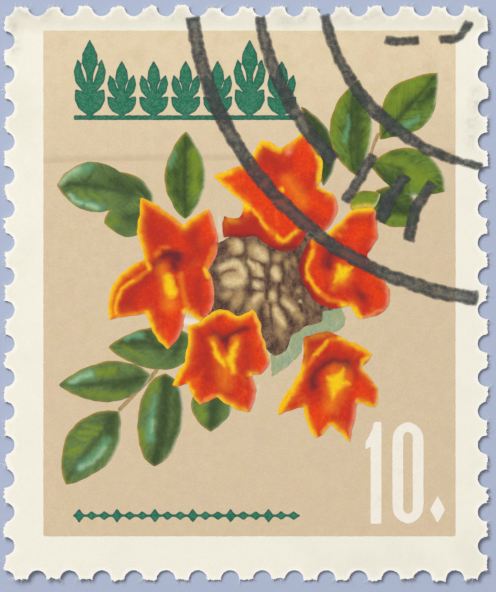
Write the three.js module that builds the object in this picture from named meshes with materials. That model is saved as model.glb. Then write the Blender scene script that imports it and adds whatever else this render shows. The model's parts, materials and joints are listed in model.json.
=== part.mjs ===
// A used postage stamp that pictures a flowering branch, lying flat with its printed face up.
// Millimetres. The origin is at the centre of the underside: +X points to the picture's right,
// +Y to its top edge and +Z out of the printed face.
//
// The stamp is a perforated sheet of paper. Each printed shape is a solid of its own, one ink
// layer thick, and shapes that lie over each other are printed on successive layers.
import * as THREE from 'three';

// ---- driving dimensions ----
const TEETH = { across: 15, down: 17 }; // paper teeth along a short side and a long side
const PITCH = { x: 1.372, y: 1.439 }; // distance between neighbouring perforation holes
const HOLE_R = 0.4; // radius of a perforation hole
const PAPER = 0.1; // thickness of the paper
const INK = 0.005; // one printed layer, thicker than real ink so that it has a body
const PANEL = { left: -8.66, right: 8.94, bottom: -10.38, top: 11.22 }; // the tinted picture ground

// Printing order. Layer 0 lies on the paper, and every other layer on the one before it.
const LAYER = { ground: 0, back: 1, front: 2, bloom: 3, frontBloom: 4, postmark: 5 };

// ---- colours and finishes ----
const finish = (color, roughness) => new THREE.MeshStandardMaterial({ color, roughness, metalness: 0 });
const makePaper = () => finish(0xf3f0e2, 0.85);
const makeGround = () => finish(0xdcc8a7, 0.7);
const makePetal = () => finish(0xd9381e, 0.6);
const makeLeaf = () => finish(0x4a6b38, 0.6);
const makeTwig = () => finish(0x9a8446, 0.65);
const makeStalk = () => finish(0xa5be96, 0.65);
const makeBud = () => finish(0x6b543c, 0.65);
const makeOrnament = () => finish(0x287d5a, 0.6);
const makeNumeral = () => finish(0xf6f3e8, 0.8);
const makePostmark = () => finish(0x414141, 0.75);

// ---- helpers ----
const degrees = (angle) => (angle * Math.PI) / 180;

function node(name, geometry, material) {
  const mesh = new THREE.Mesh(geometry, material);
  mesh.name = name;
  return mesh;
}

// A flat outline printed on one ink layer.
function printed(name, shape, layer, material, curveSegments = 6) {
  const geometry = new THREE.ExtrudeGeometry(shape, { depth: INK, bevelEnabled: false, curveSegments });
  const bottom = PAPER + layer * INK;
  const position = geometry.getAttribute('position');
  for (let i = 0; i < position.count; i += 1) {
    position.setZ(i, position.getZ(i) > INK / 2 ? bottom + INK : bottom);
  }
  return node(name, geometry, material);
}

// A closed outline through corners [x, y, bulge], listed clockwise. The side that starts at a
// corner bows outwards by bulge times its length, or inwards where bulge is negative.
function bowed(corners) {
  const shape = new THREE.Shape();
  shape.moveTo(corners[0][0], corners[0][1]);
  corners.forEach(([x0, y0, bulge = 0], i) => {
    const [x1, y1] = corners[(i + 1) % corners.length];
    const control = {
      x: (x0 + x1) / 2 - 2 * bulge * (y1 - y0),
      y: (y0 + y1) / 2 + 2 * bulge * (x1 - x0),
    };
    if (bulge) shape.quadraticCurveTo(control.x, control.y, x1, y1);
    else shape.lineTo(x1, y1);
  });
  return shape;
}

// A leaf about a bowed midrib. belly is where it is widest, as a share of its length from the base.
// Its ends are pointed where point is near 1 and rounder where it is less.
function leaf({ base, tip, width, bow = 0, belly = 0.45, point = 0.8 }) {
  const [from, to] = [new THREE.Vector2(...base), new THREE.Vector2(...tip)];
  const along = to.clone().sub(from);
  const middle = from.clone().lerp(to, 0.5).add(new THREE.Vector2(-along.y, along.x).multiplyScalar(2 * bow));
  const midrib = new THREE.QuadraticBezierCurve(from, middle, to);
  const steps = 14;
  const skew = Math.log(0.5) / Math.log(belly);
  const edge = (side) =>
    Array.from({ length: steps - 1 }, (_, i) => {
      const t = (i + 1) / steps;
      const half = (side * width * Math.sin(Math.PI * t ** skew) ** point) / 2;
      const run = midrib.getTangent(t);
      return midrib.getPoint(t).add(new THREE.Vector2(-run.y, run.x).multiplyScalar(half));
    });
  return new THREE.Shape([from, ...edge(-1), to, ...edge(1).reverse()]);
}

// A band of even width along a smooth line.
function band(points, width, steps = 16) {
  const line = new THREE.SplineCurve(points.map((p) => new THREE.Vector2(...p)));
  const side = (half) =>
    Array.from({ length: steps + 1 }, (_, i) => {
      const run = line.getTangent(i / steps);
      return line.getPoint(i / steps).add(new THREE.Vector2(-run.y, run.x).multiplyScalar(half));
    });
  return new THREE.Shape([...side(-width / 2), ...side(width / 2).reverse()]);
}

// A stretch of a ring about a centre, from one angle to a larger one, in degrees. Its width runs
// through the widths given, which are evenly spaced along it.
function ringStretch(centre, radius, widths, from, to) {
  const steps = 24;
  const side = (way) =>
    Array.from({ length: steps + 1 }, (_, i) => {
      const at = (i / steps) * (widths.length - 1);
      const before = Math.min(Math.floor(at), widths.length - 2);
      const width = THREE.MathUtils.lerp(widths[before], widths[before + 1], at - before);
      const angle = degrees(THREE.MathUtils.lerp(from, to, i / steps));
      const reach = radius + (way * width) / 2;
      return new THREE.Vector2(centre[0] + reach * Math.cos(angle), centre[1] + reach * Math.sin(angle));
    });
  return new THREE.Shape([...side(1), ...side(-1).reverse()]);
}

// ---- the paper ----
// Each side runs from hole to hole. A side starts with a quarter bite at its corner, and the rest
// of its holes are half bites.
function sheetShape() {
  const half = { x: (TEETH.across * PITCH.x) / 2, y: (TEETH.down * PITCH.y) / 2 };
  const sides = [
    { corner: [-half.x, -half.y], heading: 0, pitch: PITCH.x, teeth: TEETH.across },
    { corner: [half.x, -half.y], heading: 90, pitch: PITCH.y, teeth: TEETH.down },
    { corner: [half.x, half.y], heading: 180, pitch: PITCH.x, teeth: TEETH.across },
    { corner: [-half.x, half.y], heading: 270, pitch: PITCH.y, teeth: TEETH.down },
  ];
  const shape = new THREE.Shape();
  for (const { corner, heading, pitch, teeth } of sides) {
    for (let hole = 0; hole < teeth; hole += 1) {
      const x = corner[0] + hole * pitch * Math.round(Math.cos(degrees(heading)));
      const y = corner[1] + hole * pitch * Math.round(Math.sin(degrees(heading)));
      const bite = hole === 0 ? 90 : 180;
      shape.absarc(x, y, HOLE_R, degrees(heading + bite), degrees(heading), true);
    }
  }
  return shape;
}

function makeSheet() {
  const geometry = new THREE.ExtrudeGeometry(sheetShape(), {
    depth: PAPER,
    bevelEnabled: false,
    curveSegments: 5,
  });
  return node('sheet', geometry, makePaper());
}

function makePanel() {
  const { left, right, bottom, top } = PANEL;
  const shape = bowed([[left, bottom], [left, top], [right, top], [right, bottom]]);
  return printed('panel', shape, LAYER.ground, makeGround(), 1);
}

// ---- leaves, twigs and stalk ----
const LEAVES = [
  { base: [-4.3, 4.05], tip: [-8.12, 4.62], width: 2.15, bow: -0.04, belly: 0.58, layer: LAYER.front },
  { base: [-3.98, 3.8], tip: [-5.9, 5.15], width: 1.08, bow: -0.02, layer: LAYER.back },
  { base: [-4.25, 3.55], tip: [-6.08, 3.0], width: 1.75, bow: 0.02, layer: LAYER.back },
  { base: [-2.6, 3.15], tip: [-2.55, 6.92], width: 1.75, bow: 0.01, belly: 0.48, layer: LAYER.back },
  { base: [2.3, 8.0], tip: [3.3, 4.55], width: 1.0, bow: 0.13, belly: 0.55, layer: LAYER.back },
  { base: [4.75, 5.0], tip: [4.85, 9.12], width: 1.8, bow: 0.08, belly: 0.48, layer: LAYER.front },
  { base: [5.68, 6.55], tip: [8.22, 9.44], width: 2.1, belly: 0.5, point: 1, layer: LAYER.back },
  { base: [5.3, 5.4], tip: [8.5, 4.35], width: 2.0, bow: 0.1, belly: 0.5, layer: LAYER.front },
  { base: [5.55, 4.4], tip: [7.45, 3.1], width: 1.8, bow: -0.05, layer: LAYER.back },
  { base: [4.42, 3.62], tip: [5.75, 4.25], width: 0.95, bow: 0.0, layer: LAYER.bloom },
  { base: [-2.0, -2.3], tip: [-5.9, -2.3], width: 1.86, bow: 0.01, belly: 0.42, layer: LAYER.front },
  { base: [-4.05, -3.5], tip: [-8.0, -3.92], width: 1.75, bow: 0.02, belly: 0.45, layer: LAYER.front },
  { base: [-5.4, -5.05], tip: [-7.7, -8.18], width: 2.15, bow: -0.04, belly: 0.48, layer: LAYER.front },
  { base: [-3.42, -3.4], tip: [-3.95, -7.42], width: 1.92, belly: 0.47, point: 0.52, layer: LAYER.front },
  { base: [-1.45, -3.7], tip: [-1.52, -5.92], width: 1.75, bow: 0.0, belly: 0.5, layer: LAYER.back },
];

const makeLeaves = () =>
  LEAVES.map((each, i) => printed(`leaf_${i + 1}`, leaf(each), each.layer, makeLeaf()));

const makeTwigs = () => [
  printed(
    'twig_left',
    band([[-3.72, -3.1], [-4.05, -3.58], [-4.75, -4.28], [-5.45, -5.02]], 0.17),
    LAYER.back,
    makeTwig(),
  ),
  printed('twig_right', band([[5.66, 6.85], [5.4, 6.2], [5.22, 5.35]], 0.13), LAYER.bloom, makeTwig()),
];

const makeFlowerStalk = () =>
  printed(
    'flower_stalk',
    bowed([
      [2.5, -1.5, 0.1],
      [3.3, -0.62, 0.05],
      [4.05, -0.6, 0.12],
      [4.22, -1.3, 0.12],
      [3.8, -1.66, 0.0],
      [2.45, -1.95, 0.0],
      [2.38, -2.5, 0.04],
      [1.08, -3.62, 0.0],
      [1.04, -2.7, 0.0],
      [1.88, -1.65, 0.0],
    ]),
    LAYER.back,
    makeStalk(),
  );

// ---- bud cluster and blooms ----
const makeBudCluster = () =>
  printed(
    'bud_cluster',
    bowed([
      [-1.75, 1.9, 0.0],
      [-0.5, 2.48, 0.03],
      [0.65, 2.55, 0.0],
      [1.4, 2.1, 0.0],
      [2.8, 2.6, 0.0],
      [2.7, 0.4, 0.0],
      [3.1, -0.05, 0.0],
      [3.85, -0.5, 0.0],
      [3.7, -0.74, 0.0],
      [3.25, -0.75, 0.03],
      [3.25, -1.15, 0.06],
      [2.5, -1.45, 0.1],
      [1.95, -1.75, 0.0],
      [1.75, -2.35, 0.1],
      [1.2, -2.68, 0.06],
      [0.8, -2.3, 0.0],
      [0.35, -1.15, 0.0],
      [-1.6, -1.0, 0.0],
      [-1.55, 0.2, 0.0],
    ]),
    LAYER.front,
    makeBud(),
  );

const BLOOMS = [
  {
    name: 'bloom_left',
    layer: LAYER.bloom,
    corners: [
      [-4.52, 4.12, 0.05],
      [-2.66, 2.86, 0.06],
      [-1.62, 3.62, 0.07],
      [-1.22, 2.35, 0.1],
      [-1.66, 0.95, 0.1],
      [-1.36, -0.2, 0.14],
      [-1.95, -1.22, 0.0],
      [-2.6, -0.72, 0.12],
      [-3.36, -2.44, 0.08],
      [-4.26, -0.85, 0.0],
      [-5.85, -1.12, 0.2],
      [-4.38, 1.45, -0.06],
      [-4.7, 2.6, -0.04],
    ],
  },
  {
    name: 'bloom_lower_middle',
    layer: LAYER.frontBloom,
    corners: [
      [-2.5, -1.42, 0.02],
      [-1.95, -1.2, 0.05],
      [-1.1, -0.66, 0.08],
      [-0.42, -0.98, -0.08],
      [0.25, -0.66, 0.12],
      [0.62, -1.6, 0.02],
      [0.98, -2.75, 0.1],
      [0.66, -3.5, 0.06],
      [0.2, -3.42, -0.02],
      [0.45, -4.15, 0.05],
      [0.12, -5.1, 0.08],
      [-1.25, -4.42, 0.0],
      [-1.98, -4.8, 0.08],
      [-2.45, -3.85, 0.0],
      [-3.15, -3.95, 0.03],
      [-2.62, -2.95, -0.04],
    ],
  },
  {
    name: 'bloom_lower_right',
    layer: LAYER.bloom,
    corners: [
      [2.45, -1.9, 0.04],
      [3.4, -1.6, 0.06],
      [4.1, -1.9, 0.05],
      [5.38, -2.6, 0.08],
      [4.9, -3.1, 0.0],
      [5.62, -4.0, 0.04],
      [5.55, -4.88, 0.04],
      [4.78, -4.62, 0.0],
      [4.45, -6.36, 0.04],
      [3.62, -5.6, 0.05],
      [2.98, -6.2, 0.1],
      [2.48, -4.85, 0.0],
      [1.34, -5.18, 0.06],
      [2.0, -3.9, -0.05],
      [2.4, -3.0, -0.02],
    ],
  },
  {
    name: 'bloom_top',
    layer: LAYER.bloom,
    corners: [
      [-1.42, 5.0, 0.03],
      [-0.2, 5.4, -0.05],
      [0.42, 6.15, 0.04],
      [0.62, 6.55, 0.1],
      [1.42, 6.15, -0.04],
      [2.35, 6.86, 0.08],
      [3.3, 5.6, 0.06],
      [3.08, 4.6, -0.06],
      [3.7, 4.3, 0.1],
      [3.92, 3.6, 0.08],
      [3.42, 2.66, 0.0],
      [2.6, 2.6, 0.0],
      [2.15, 1.88, 0.08],
      [1.2, 1.86, 0.03],
      [0.5, 2.4, -0.04],
      [-1.0, 2.34, 0.04],
      [-0.94, 3.34, -0.08],
      [-0.26, 3.2, -0.04],
      [-0.12, 3.9, 0.02],
    ],
  },
  {
    name: 'bloom_right',
    layer: LAYER.frontBloom,
    corners: [
      [2.75, 2.3, 0.0],
      [3.55, 2.6, 0.05],
      [4.05, 3.02, 0.02],
      [4.42, 3.5, 0.06],
      [5.48, 3.62, 0.04],
      [5.64, 2.45, 0.0],
      [5.15, 1.6, 0.0],
      [6.0, 0.4, 0.1],
      [6.1, -0.55, 0.08],
      [4.9, -1.14, 0.06],
      [4.42, -0.55, 0.0],
      [3.7, -0.66, 0.06],
      [2.85, -0.25, 0.05],
      [2.2, 1.05, 0.05],
    ],
  },
];

const makeBlooms = () =>
  BLOOMS.map(({ name, layer, corners }) => printed(name, bowed(corners), layer, makePetal()));

// ---- ornament, border and numeral ----
// The title's place holds a frieze: palmettes of five blades that grow out of a thin rule. Two of
// them are taller.
const FRIEZE = { left: -7.36, right: 2.2, foot: 7.4, rule: 0.2, high: 3.25, low: 2.35, count: 7 };
const TALL = [0, 5]; // which palmettes are tall
const STEM = 0.1; // half the width of a palmette where it leaves the rule

// One half of a palmette, from its foot to its tip: the shares of the palmette's pitch and height at
// each corner, and how far the side that starts there bows, on the way up the left half and on the
// way down the right one.
const FOOT_BOW = 0.2;
const BLADES = [
  { out: 0.46, up: 0.34, bow: 0.1, downBow: 0.2 },
  { out: 0.2, up: 0.3, bow: 0.2, downBow: 0.12 },
  { out: 0.38, up: 0.74, bow: 0.12, downBow: 0.2 },
  { out: 0.1, up: 0.42, bow: 0.16, downBow: 0.12 },
  { out: 0, up: 1, bow: 0.16 },
];

function palmette(x, foot, pitch, height) {
  const corner = (side, { out, up }) => [x + side * out * pitch, foot + up * height];
  const left = [[x - STEM, foot, FOOT_BOW], ...BLADES.map((each) => [...corner(-1, each), each.bow])];
  const tipToFoot = BLADES.slice(0, -1).reverse();
  const right = tipToFoot.map((each) => [...corner(1, each), each.downBow]);
  return [...left, ...right, [x + STEM, foot]];
}

function makeFrieze() {
  const { left, right, foot, rule, high, low, count } = FRIEZE;
  const pitch = (right - left) / count;
  const ground = foot + rule;
  const palmettes = Array.from({ length: count }, (_, i) =>
    palmette(left + pitch * (i + 0.5), ground, pitch, TALL.includes(i) ? high : low),
  );
  const outline = [[left, foot], [left, ground], ...palmettes.flat(), [right, ground], [right, foot]];
  return printed('title_frieze', bowed(outline), LAYER.back, makeOrnament(), 3);
}

// The caption's place holds a beaded rule: lozenges strung on a thin line, every third one larger.
const BEADS = { left: -7.4, right: 2.3, y: -9.5, rule: 0.1, tall: 0.62, low: 0.4, count: 18, reach: 0.36 };

function makeBeadedRule() {
  const { left, right, y, rule, tall, low, count, reach } = BEADS;
  const pitch = (right - left) / count;
  const side = (up) =>
    Array.from({ length: count }, (_, i) => {
      const x = left + pitch * (i + 0.5);
      const edge = y + (up * rule) / 2;
      return [
        [x - up * pitch * reach, edge],
        [x, y + (up * (i % 3 === 0 ? tall : low)) / 2],
        [x + up * pitch * reach, edge],
      ];
    });
  const outline = [
    [left, y - rule / 2],
    [left, y + rule / 2],
    ...side(1).flat(),
    [right, y + rule / 2],
    [right, y - rule / 2],
    ...side(-1).reverse().flat(),
  ];
  return printed('caption_rule', bowed(outline), LAYER.back, makeOrnament(), 1);
}

// The value is a plain condensed numeral in bare white, with a small lozenge after it.
const DIGIT = { foot: -9.85, top: -5.5, one: [5.1, 5.78], nought: [6.25, 7.58], stroke: 0.46 };
const FLAG = { drop: 1.2, depth: 0.35, notch: 0.15 }; // the slanted flag at the top of the one
const OVAL = { turn: 0.62, bow: 0.2, crown: 0.9 }; // where the nought's straight sides turn, and how
const LOZENGE = { x: 8.18, y: -9.24, wide: 0.64, high: 1.16 };

function makeNumerals() {
  const { foot, top, one, nought, stroke } = DIGIT;
  const oneShape = bowed([
    [one[1] - stroke, foot],
    [one[1] - stroke, top - FLAG.drop + FLAG.notch],
    [one[0], top - FLAG.drop],
    [one[0], top - FLAG.drop + FLAG.depth, -0.06],
    [one[1] - stroke * 0.7, top],
    [one[1], top],
    [one[1], foot],
  ]);
  const oval = (inset) => {
    const [left, right] = [nought[0] + inset, nought[1] - inset];
    const middle = (left + right) / 2;
    const turn = (right - left) * OVAL.turn;
    const [low, high] = [foot + inset * OVAL.crown, top - inset * OVAL.crown];
    return bowed([
      [left, low + turn, 0],
      [left, high - turn, OVAL.bow],
      [middle, high, OVAL.bow],
      [right, high - turn, 0],
      [right, low + turn, OVAL.bow],
      [middle, low, OVAL.bow],
    ]);
  };
  const noughtShape = oval(0);
  noughtShape.holes.push(new THREE.Path(oval(stroke).getPoints(6).reverse()));
  const { x, y, wide, high } = LOZENGE;
  const lozenge = bowed([[x, y + high / 2], [x + wide / 2, y], [x, y - high / 2], [x - wide / 2, y]]);
  return [
    printed('value_one', oneShape, LAYER.back, makeNumeral()),
    printed('value_nought', noughtShape, LAYER.back, makeNumeral()),
    printed('value_lozenge', lozenge, LAYER.back, makeNumeral(), 1),
  ];
}

// ---- postmark ----
// Rings struck about a centre off the stamp's corner. Plain bars stand where a postmark has words.
const POSTMARK_CENTRE = [11.4, 13.5];
const RINGS = [
  { name: 'postmark_outer_ring', radius: 13.8, widths: [0.66, 0.62, 0.68, 0.6, 0.68], from: 187, to: 263.8 },
  { name: 'postmark_middle_ring', radius: 10.95, widths: [0.5, 0.62, 0.6, 0.68], from: 188.6, to: 226 },
  { name: 'postmark_inner_ring', radius: 8.2, widths: [0.46, 0.5, 0.64, 0.5, 0.36], from: 191, to: 261 },
];
const BARS = [
  { path: [[5.48, 5.95], [4.85, 4.95], [4.22, 3.9]], width: 0.5 },
  { path: [[6.85, 5.05], [6.15, 4.1], [5.75, 3.0]], width: 0.55 },
  { path: [[8.0, 4.75], [7.25, 3.6], [6.95, 2.2]], width: 0.55 },
  { path: [[5.9, 10.85], [6.65, 10.75], [7.4, 10.82]], width: 0.42 },
  { path: [[8.2, 10.82], [9.1, 10.95], [9.5, 11.65]], width: 0.42 },
];

function makePostmarkNodes() {
  const rings = RINGS.map(({ name, radius, widths, from, to }) =>
    printed(name, ringStretch(POSTMARK_CENTRE, radius, widths, from, to), LAYER.postmark, makePostmark()),
  );
  const barSteps = 6;
  const bars = BARS.map(({ path, width }, i) =>
    printed(`postmark_bar_${i + 1}`, band(path, width, barSteps), LAYER.postmark, makePostmark()),
  );
  return [...rings, ...bars];
}

// ---- the whole stamp ----
const stamp = new THREE.Group();
stamp.add(makeSheet(), makePanel());
stamp.add(...makeLeaves(), ...makeTwigs(), makeFlowerStalk());
stamp.add(makeBudCluster(), ...makeBlooms());
stamp.add(makeFrieze(), makeBeadedRule(), ...makeNumerals());
stamp.add(...makePostmarkNodes());

export default stamp;
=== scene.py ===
"""The looks of a used postage stamp: torn perforated paper, a printed flowering branch, a postmark."""
import json
import math

import bpy
import numpy as np
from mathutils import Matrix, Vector, geometry, kdtree, noise

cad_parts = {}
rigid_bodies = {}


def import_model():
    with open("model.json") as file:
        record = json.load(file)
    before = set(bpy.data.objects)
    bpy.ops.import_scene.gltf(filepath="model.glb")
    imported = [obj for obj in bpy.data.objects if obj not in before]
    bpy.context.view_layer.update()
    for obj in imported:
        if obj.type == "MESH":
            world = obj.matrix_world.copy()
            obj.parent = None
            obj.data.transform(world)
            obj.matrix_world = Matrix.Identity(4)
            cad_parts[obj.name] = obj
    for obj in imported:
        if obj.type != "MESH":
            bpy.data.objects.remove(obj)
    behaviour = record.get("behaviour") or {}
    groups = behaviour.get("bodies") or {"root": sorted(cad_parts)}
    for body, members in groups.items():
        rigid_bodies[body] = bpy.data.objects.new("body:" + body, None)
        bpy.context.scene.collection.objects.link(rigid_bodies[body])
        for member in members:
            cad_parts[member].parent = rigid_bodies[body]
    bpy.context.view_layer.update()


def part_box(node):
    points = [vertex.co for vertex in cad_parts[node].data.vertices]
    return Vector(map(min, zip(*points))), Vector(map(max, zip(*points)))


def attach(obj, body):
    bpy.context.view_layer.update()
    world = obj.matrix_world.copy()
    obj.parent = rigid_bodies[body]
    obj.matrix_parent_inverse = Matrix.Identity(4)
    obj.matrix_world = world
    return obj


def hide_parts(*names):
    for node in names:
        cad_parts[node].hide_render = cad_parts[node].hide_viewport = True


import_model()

bl_info = {
    "name": "Printed Stamp",
    "version": (1, 0, 0),
    "blender": (4, 5, 0),
    "location": "3D View > Sidebar > Stamp",
    "description": "Lays torn stamp paper and prints a flowering branch on it, film by film",
    "category": "Object",
}

# ---- sizes ----
# Outlines and brush strokes are in millimetres, in the stamp's own frame, and meshes in metres.
MM = 0.001
SHEET_LOW, SHEET_HIGH = (np.array(corner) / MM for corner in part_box("sheet"))
FACE = SHEET_HIGH[2]  # height of the printed face above the table
TEETH = (15, 17)  # across the sheet and down it
SHEET_SPACING = 0.2  # between the points of the paper
PANEL_SPACING = 0.11  # between the points of the tinted ground
PRINT_SPACING = 0.05  # between the points of every other print
TEAR_SPACING = 0.025  # between the points of the torn outline
TOP_MARGIN = 11.0  # the height above which the paper is more handled
CREASE_LEFT = 5.76  # the crease's height where it starts at the left
CREASE_CLIMB = 0.34  # how far it climbs on its way to the right
LEAF_STEP = 0.001  # every other leaf lies this much higher, so no two share a surface

LEAVES = [f"leaf_{i}" for i in range(1, 16)]
TWIGS = ["twig_left", "twig_right"]
BLOOMS = [f"bloom_{which}" for which in ("left", "lower_middle", "lower_right", "top", "right")]
VALUE = ["value_one", "value_nought", "value_lozenge"]
POSTMARK = [f"postmark_{which}_ring" for which in ("outer", "middle", "inner")]
POSTMARK += [f"postmark_bar_{i}" for i in range(1, 6)]


# ---- outlines ----
def outlines(node):
    """The closed outlines of a node's upper face, in millimetres, the longest first."""
    mesh = bpy.data.objects[node].data
    low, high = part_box(node)
    middle = (low[2] + high[2]) / 2
    weld = 1e5  # corners closer than a hundredth of a micrometre are one corner
    edges = {}
    for face in mesh.polygons:
        corners = [mesh.vertices[i].co for i in face.vertices]
        if min(corner.z for corner in corners) < middle:
            continue
        keys = [(round(c.x / MM * weld), round(c.y / MM * weld)) for c in corners]
        edges.update({(a, b): True for a, b in zip(keys, keys[1:] + keys[:1])})
    ahead = {a: b for a, b in edges if (b, a) not in edges}
    loops = []
    while ahead:
        here = next(iter(ahead))
        loop = []
        while here in ahead:
            loop.append(here)
            here = ahead.pop(here)
        loops.append(np.array(loop) / weld)
    return sorted(loops, key=len, reverse=True)


def even(loop, spacing):
    """A closed outline with its points at an even spacing."""
    closed = np.vstack([loop, loop[:1]])
    run = np.concatenate([[0], np.cumsum(np.linalg.norm(np.diff(closed, axis=0), axis=1))])
    at = np.linspace(0, run[-1], max(8, round(run[-1] / spacing)), endpoint=False)
    return np.column_stack([np.interp(at, run, closed[:, k]) for k in (0, 1)])


def soften(loop, passes):
    """A closed outline with its corners rounded, a little more in each pass."""
    for _ in range(passes):
        loop = (np.roll(loop, 1, 0) + 2 * loop + np.roll(loop, -1, 0)) / 4
    return loop


def cloud(points, grain, seed, octaves=2):
    """Smooth noise of about -1 to 1 over points, in patches about grain across."""
    return np.array([
        noise.fractal(Vector((x / grain, y / grain, seed * 7.31)), 1.0, 2.0, octaves) for x, y in points
    ])


def outward(loop):
    """The direction out of an anticlockwise outline at each of its points."""
    run = np.roll(loop, -1, 0) - np.roll(loop, 1, 0)
    return np.column_stack([run[:, 1], -run[:, 0]]) / np.linalg.norm(run, axis=1)[:, None]


def roughen(loop, depth, grain, seed):
    """An outline whose points wander across it by up to about depth."""
    return loop + outward(loop) * (depth * cloud(loop, grain, seed))[:, None]


def inside(points, loops):
    """Which points lie inside an odd number of the outlines."""
    odd = np.zeros(len(points), bool)
    for loop in loops:
        for (x0, y0), (x1, y1) in zip(loop, np.roll(loop, -1, 0)):
            if y0 == y1:
                continue
            spans = (points[:, 1] >= min(y0, y1)) & (points[:, 1] < max(y0, y1))
            odd ^= spans & (points[:, 0] < x0 + (points[:, 1] - y0) * (x1 - x0) / (y1 - y0))
    return odd


def border_from(points, loops):
    """The distance from each point to the nearest point of some outlines, and the way out there."""
    border = np.vstack(loops)
    way = np.vstack([outward(loop) for loop in loops])
    tree = kdtree.KDTree(len(border))
    for i, (x, y) in enumerate(border):
        tree.insert((x, y, 0), i)
    tree.balance()
    found = [tree.find((x, y, 0)) for x, y in points]
    return np.array([distance for _, _, distance in found]), way[[i for _, i, _ in found]]


def gap(points, loops):
    """The distance from each point to the nearest point of some outlines."""
    return border_from(points, loops)[0]


# ---- meshes ----
def fill(loops, spacing):
    """Points and triangles over the ground between outlines, at about one spacing throughout."""
    border = np.vstack(loops)
    low, high = border.min(0), border.max(0)
    rows = np.arange(low[1], high[1], spacing * math.sqrt(0.75))
    columns = np.arange(low[0], high[0], spacing)
    grid = np.array([(x + i % 2 * spacing / 2, y) for i, y in enumerate(rows) for x in columns])
    grid = grid[inside(grid, loops)]
    grid = grid[gap(grid, loops) > spacing * 0.6]
    edges, first = [], 0
    for loop in loops:
        count = len(loop)
        edges += [(first + i, first + (i + 1) % count) for i in range(count)]
        first += count
    flat = [Vector(point) for point in np.vstack([border, grid])]
    corners, _, faces, *_ = geometry.delaunay_2d_cdt(flat, edges, [], 1, 1e-6)
    points = np.array([tuple(corner) for corner in corners])
    faces = np.array(faces)
    return points, faces[inside(points[faces].mean(1), loops)]


def lift(points):
    """How high the paper stands off the table: it waves gently and its corners rise."""
    x, y = (points / SHEET_HIGH[:2]).T
    corner = 0.11 * x**2 * y**2
    wave = 0.018 * (2 + np.sin(3.1 * x + 1.7 * y + 0.6) + np.sin(2.3 * y - 1.4 * x + 2.0))
    return corner + wave


def film(name, nodes, slot, points, faces, bottom, top):
    """A closed solid between two heights that follows the paper, standing for its CAD nodes."""
    rise = lift(points)
    upper = np.column_stack([points, rise + top])
    lower = np.column_stack([points, rise + bottom])
    count = len(points)
    pairs = {(a, b) for face in faces.tolist() for a, b in zip(face, face[1:] + face[:1])}
    walls = [(b, a, a + count, b + count) for a, b in sorted(pairs) if (b, a) not in pairs]
    solid = [tuple(face) for face in faces.tolist()]
    solid += [tuple(face) for face in (faces[:, ::-1] + count).tolist()] + walls
    return piece(name, nodes, np.vstack([upper, lower]), solid)


def piece(name, nodes, corners, faces):
    """A mesh object that rides on the stamp and stands for its CAD nodes."""
    mesh = bpy.data.meshes.new(name)
    mesh.from_pydata((corners * MM).tolist(), [], faces)
    mesh.update()
    made = bpy.data.objects.new(name, mesh)
    bpy.context.scene.collection.objects.link(made)
    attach(made, "root")
    if nodes:
        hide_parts(*nodes)
    return made


def heights(node):
    """The bottom and top of a node, in millimetres."""
    low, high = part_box(node)
    return low[2] / MM, high[2] / MM


def paint(made, under=1.0, **fields):
    """Store numbers at a film's points. Its lower side has them times under."""
    mesh = made.data
    for name, values in fields.items():
        layer = mesh.attributes.new(name, "FLOAT", "POINT")
        layer.data.foreach_set("value", np.concatenate([values, values * under]).astype(np.float32))


# ---- brush strokes ----
def curve(path, steps=12):
    """A smooth line through the points of a path."""
    path = np.array(path, float)
    if len(path) < 3:
        share = np.linspace(0, 1, 2 * steps)[:, None]
        return path[0] * (1 - share) + path[-1] * share
    ends = np.vstack([2 * path[0] - path[1], path, 2 * path[-1] - path[-2]])
    t = np.linspace(0, 1, steps, endpoint=False)[:, None]
    spans = [
        (2 * b + (c - a) * t + (2 * a - 5 * b + 4 * c - d) * t**2 + (3 * b - a - 3 * c + d) * t**3) / 2
        for a, b, c, d in zip(ends, ends[1:], ends[2:], ends[3:])
    ]
    return np.vstack([*spans, path[-1:]])


def smoothstep(values):
    """Values below 0 become 0 and above 1 become 1, with a soft run between."""
    share = np.clip(values, 0, 1)
    return share * share * (3 - 2 * share)


def stroke(points, path, width, soft):
    """How fully one brush stroke covers each point. A width may run from start to end."""
    line = curve(path)
    start, end = width if isinstance(width, tuple) else (width, width)
    half = np.linspace(start, end, len(line)) / 2
    away = np.linalg.norm(points[:, None] - line[None], axis=2) - half
    return smoothstep(0.5 - away.min(1) / (1.6 * soft))


def strokes(points, marks, tones, seed, wander):
    """The coverage by each tone's strokes. Their edges wander a little, as brush work does."""
    drift = np.column_stack([cloud(points, 0.35, seed + k, 3) for k in (0, 0.5)])
    moved = points + wander * drift
    cover = {tone: np.zeros(len(points)) for tone in tones}
    for tone, width, soft, *path in marks:
        cover[tone] = np.maximum(cover[tone], stroke(moved, path, width, soft))
    return cover


# ---- settings ----
def ink(red, green, blue):
    """A colour for a shader, from the usual 0 to 255 numbers of a screen colour."""
    shares = [channel / 255 for channel in (red, green, blue)]
    return (*[s / 12.92 if s < 0.04045 else ((s + 0.055) / 1.055) ** 2.4 for s in shares], 1.0)


def colour(name, description, red, green, blue):
    """A colour setting."""
    return bpy.props.FloatVectorProperty(
        name=name, description=description, subtype="COLOR", size=4, min=0, max=1,
        default=ink(red, green, blue),
    )


def length(name, description, default):
    """A length setting, in metres."""
    return bpy.props.FloatProperty(
        name=name, description=description, subtype="DISTANCE", unit="LENGTH", min=0,
        precision=5, default=default,
    )


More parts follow.
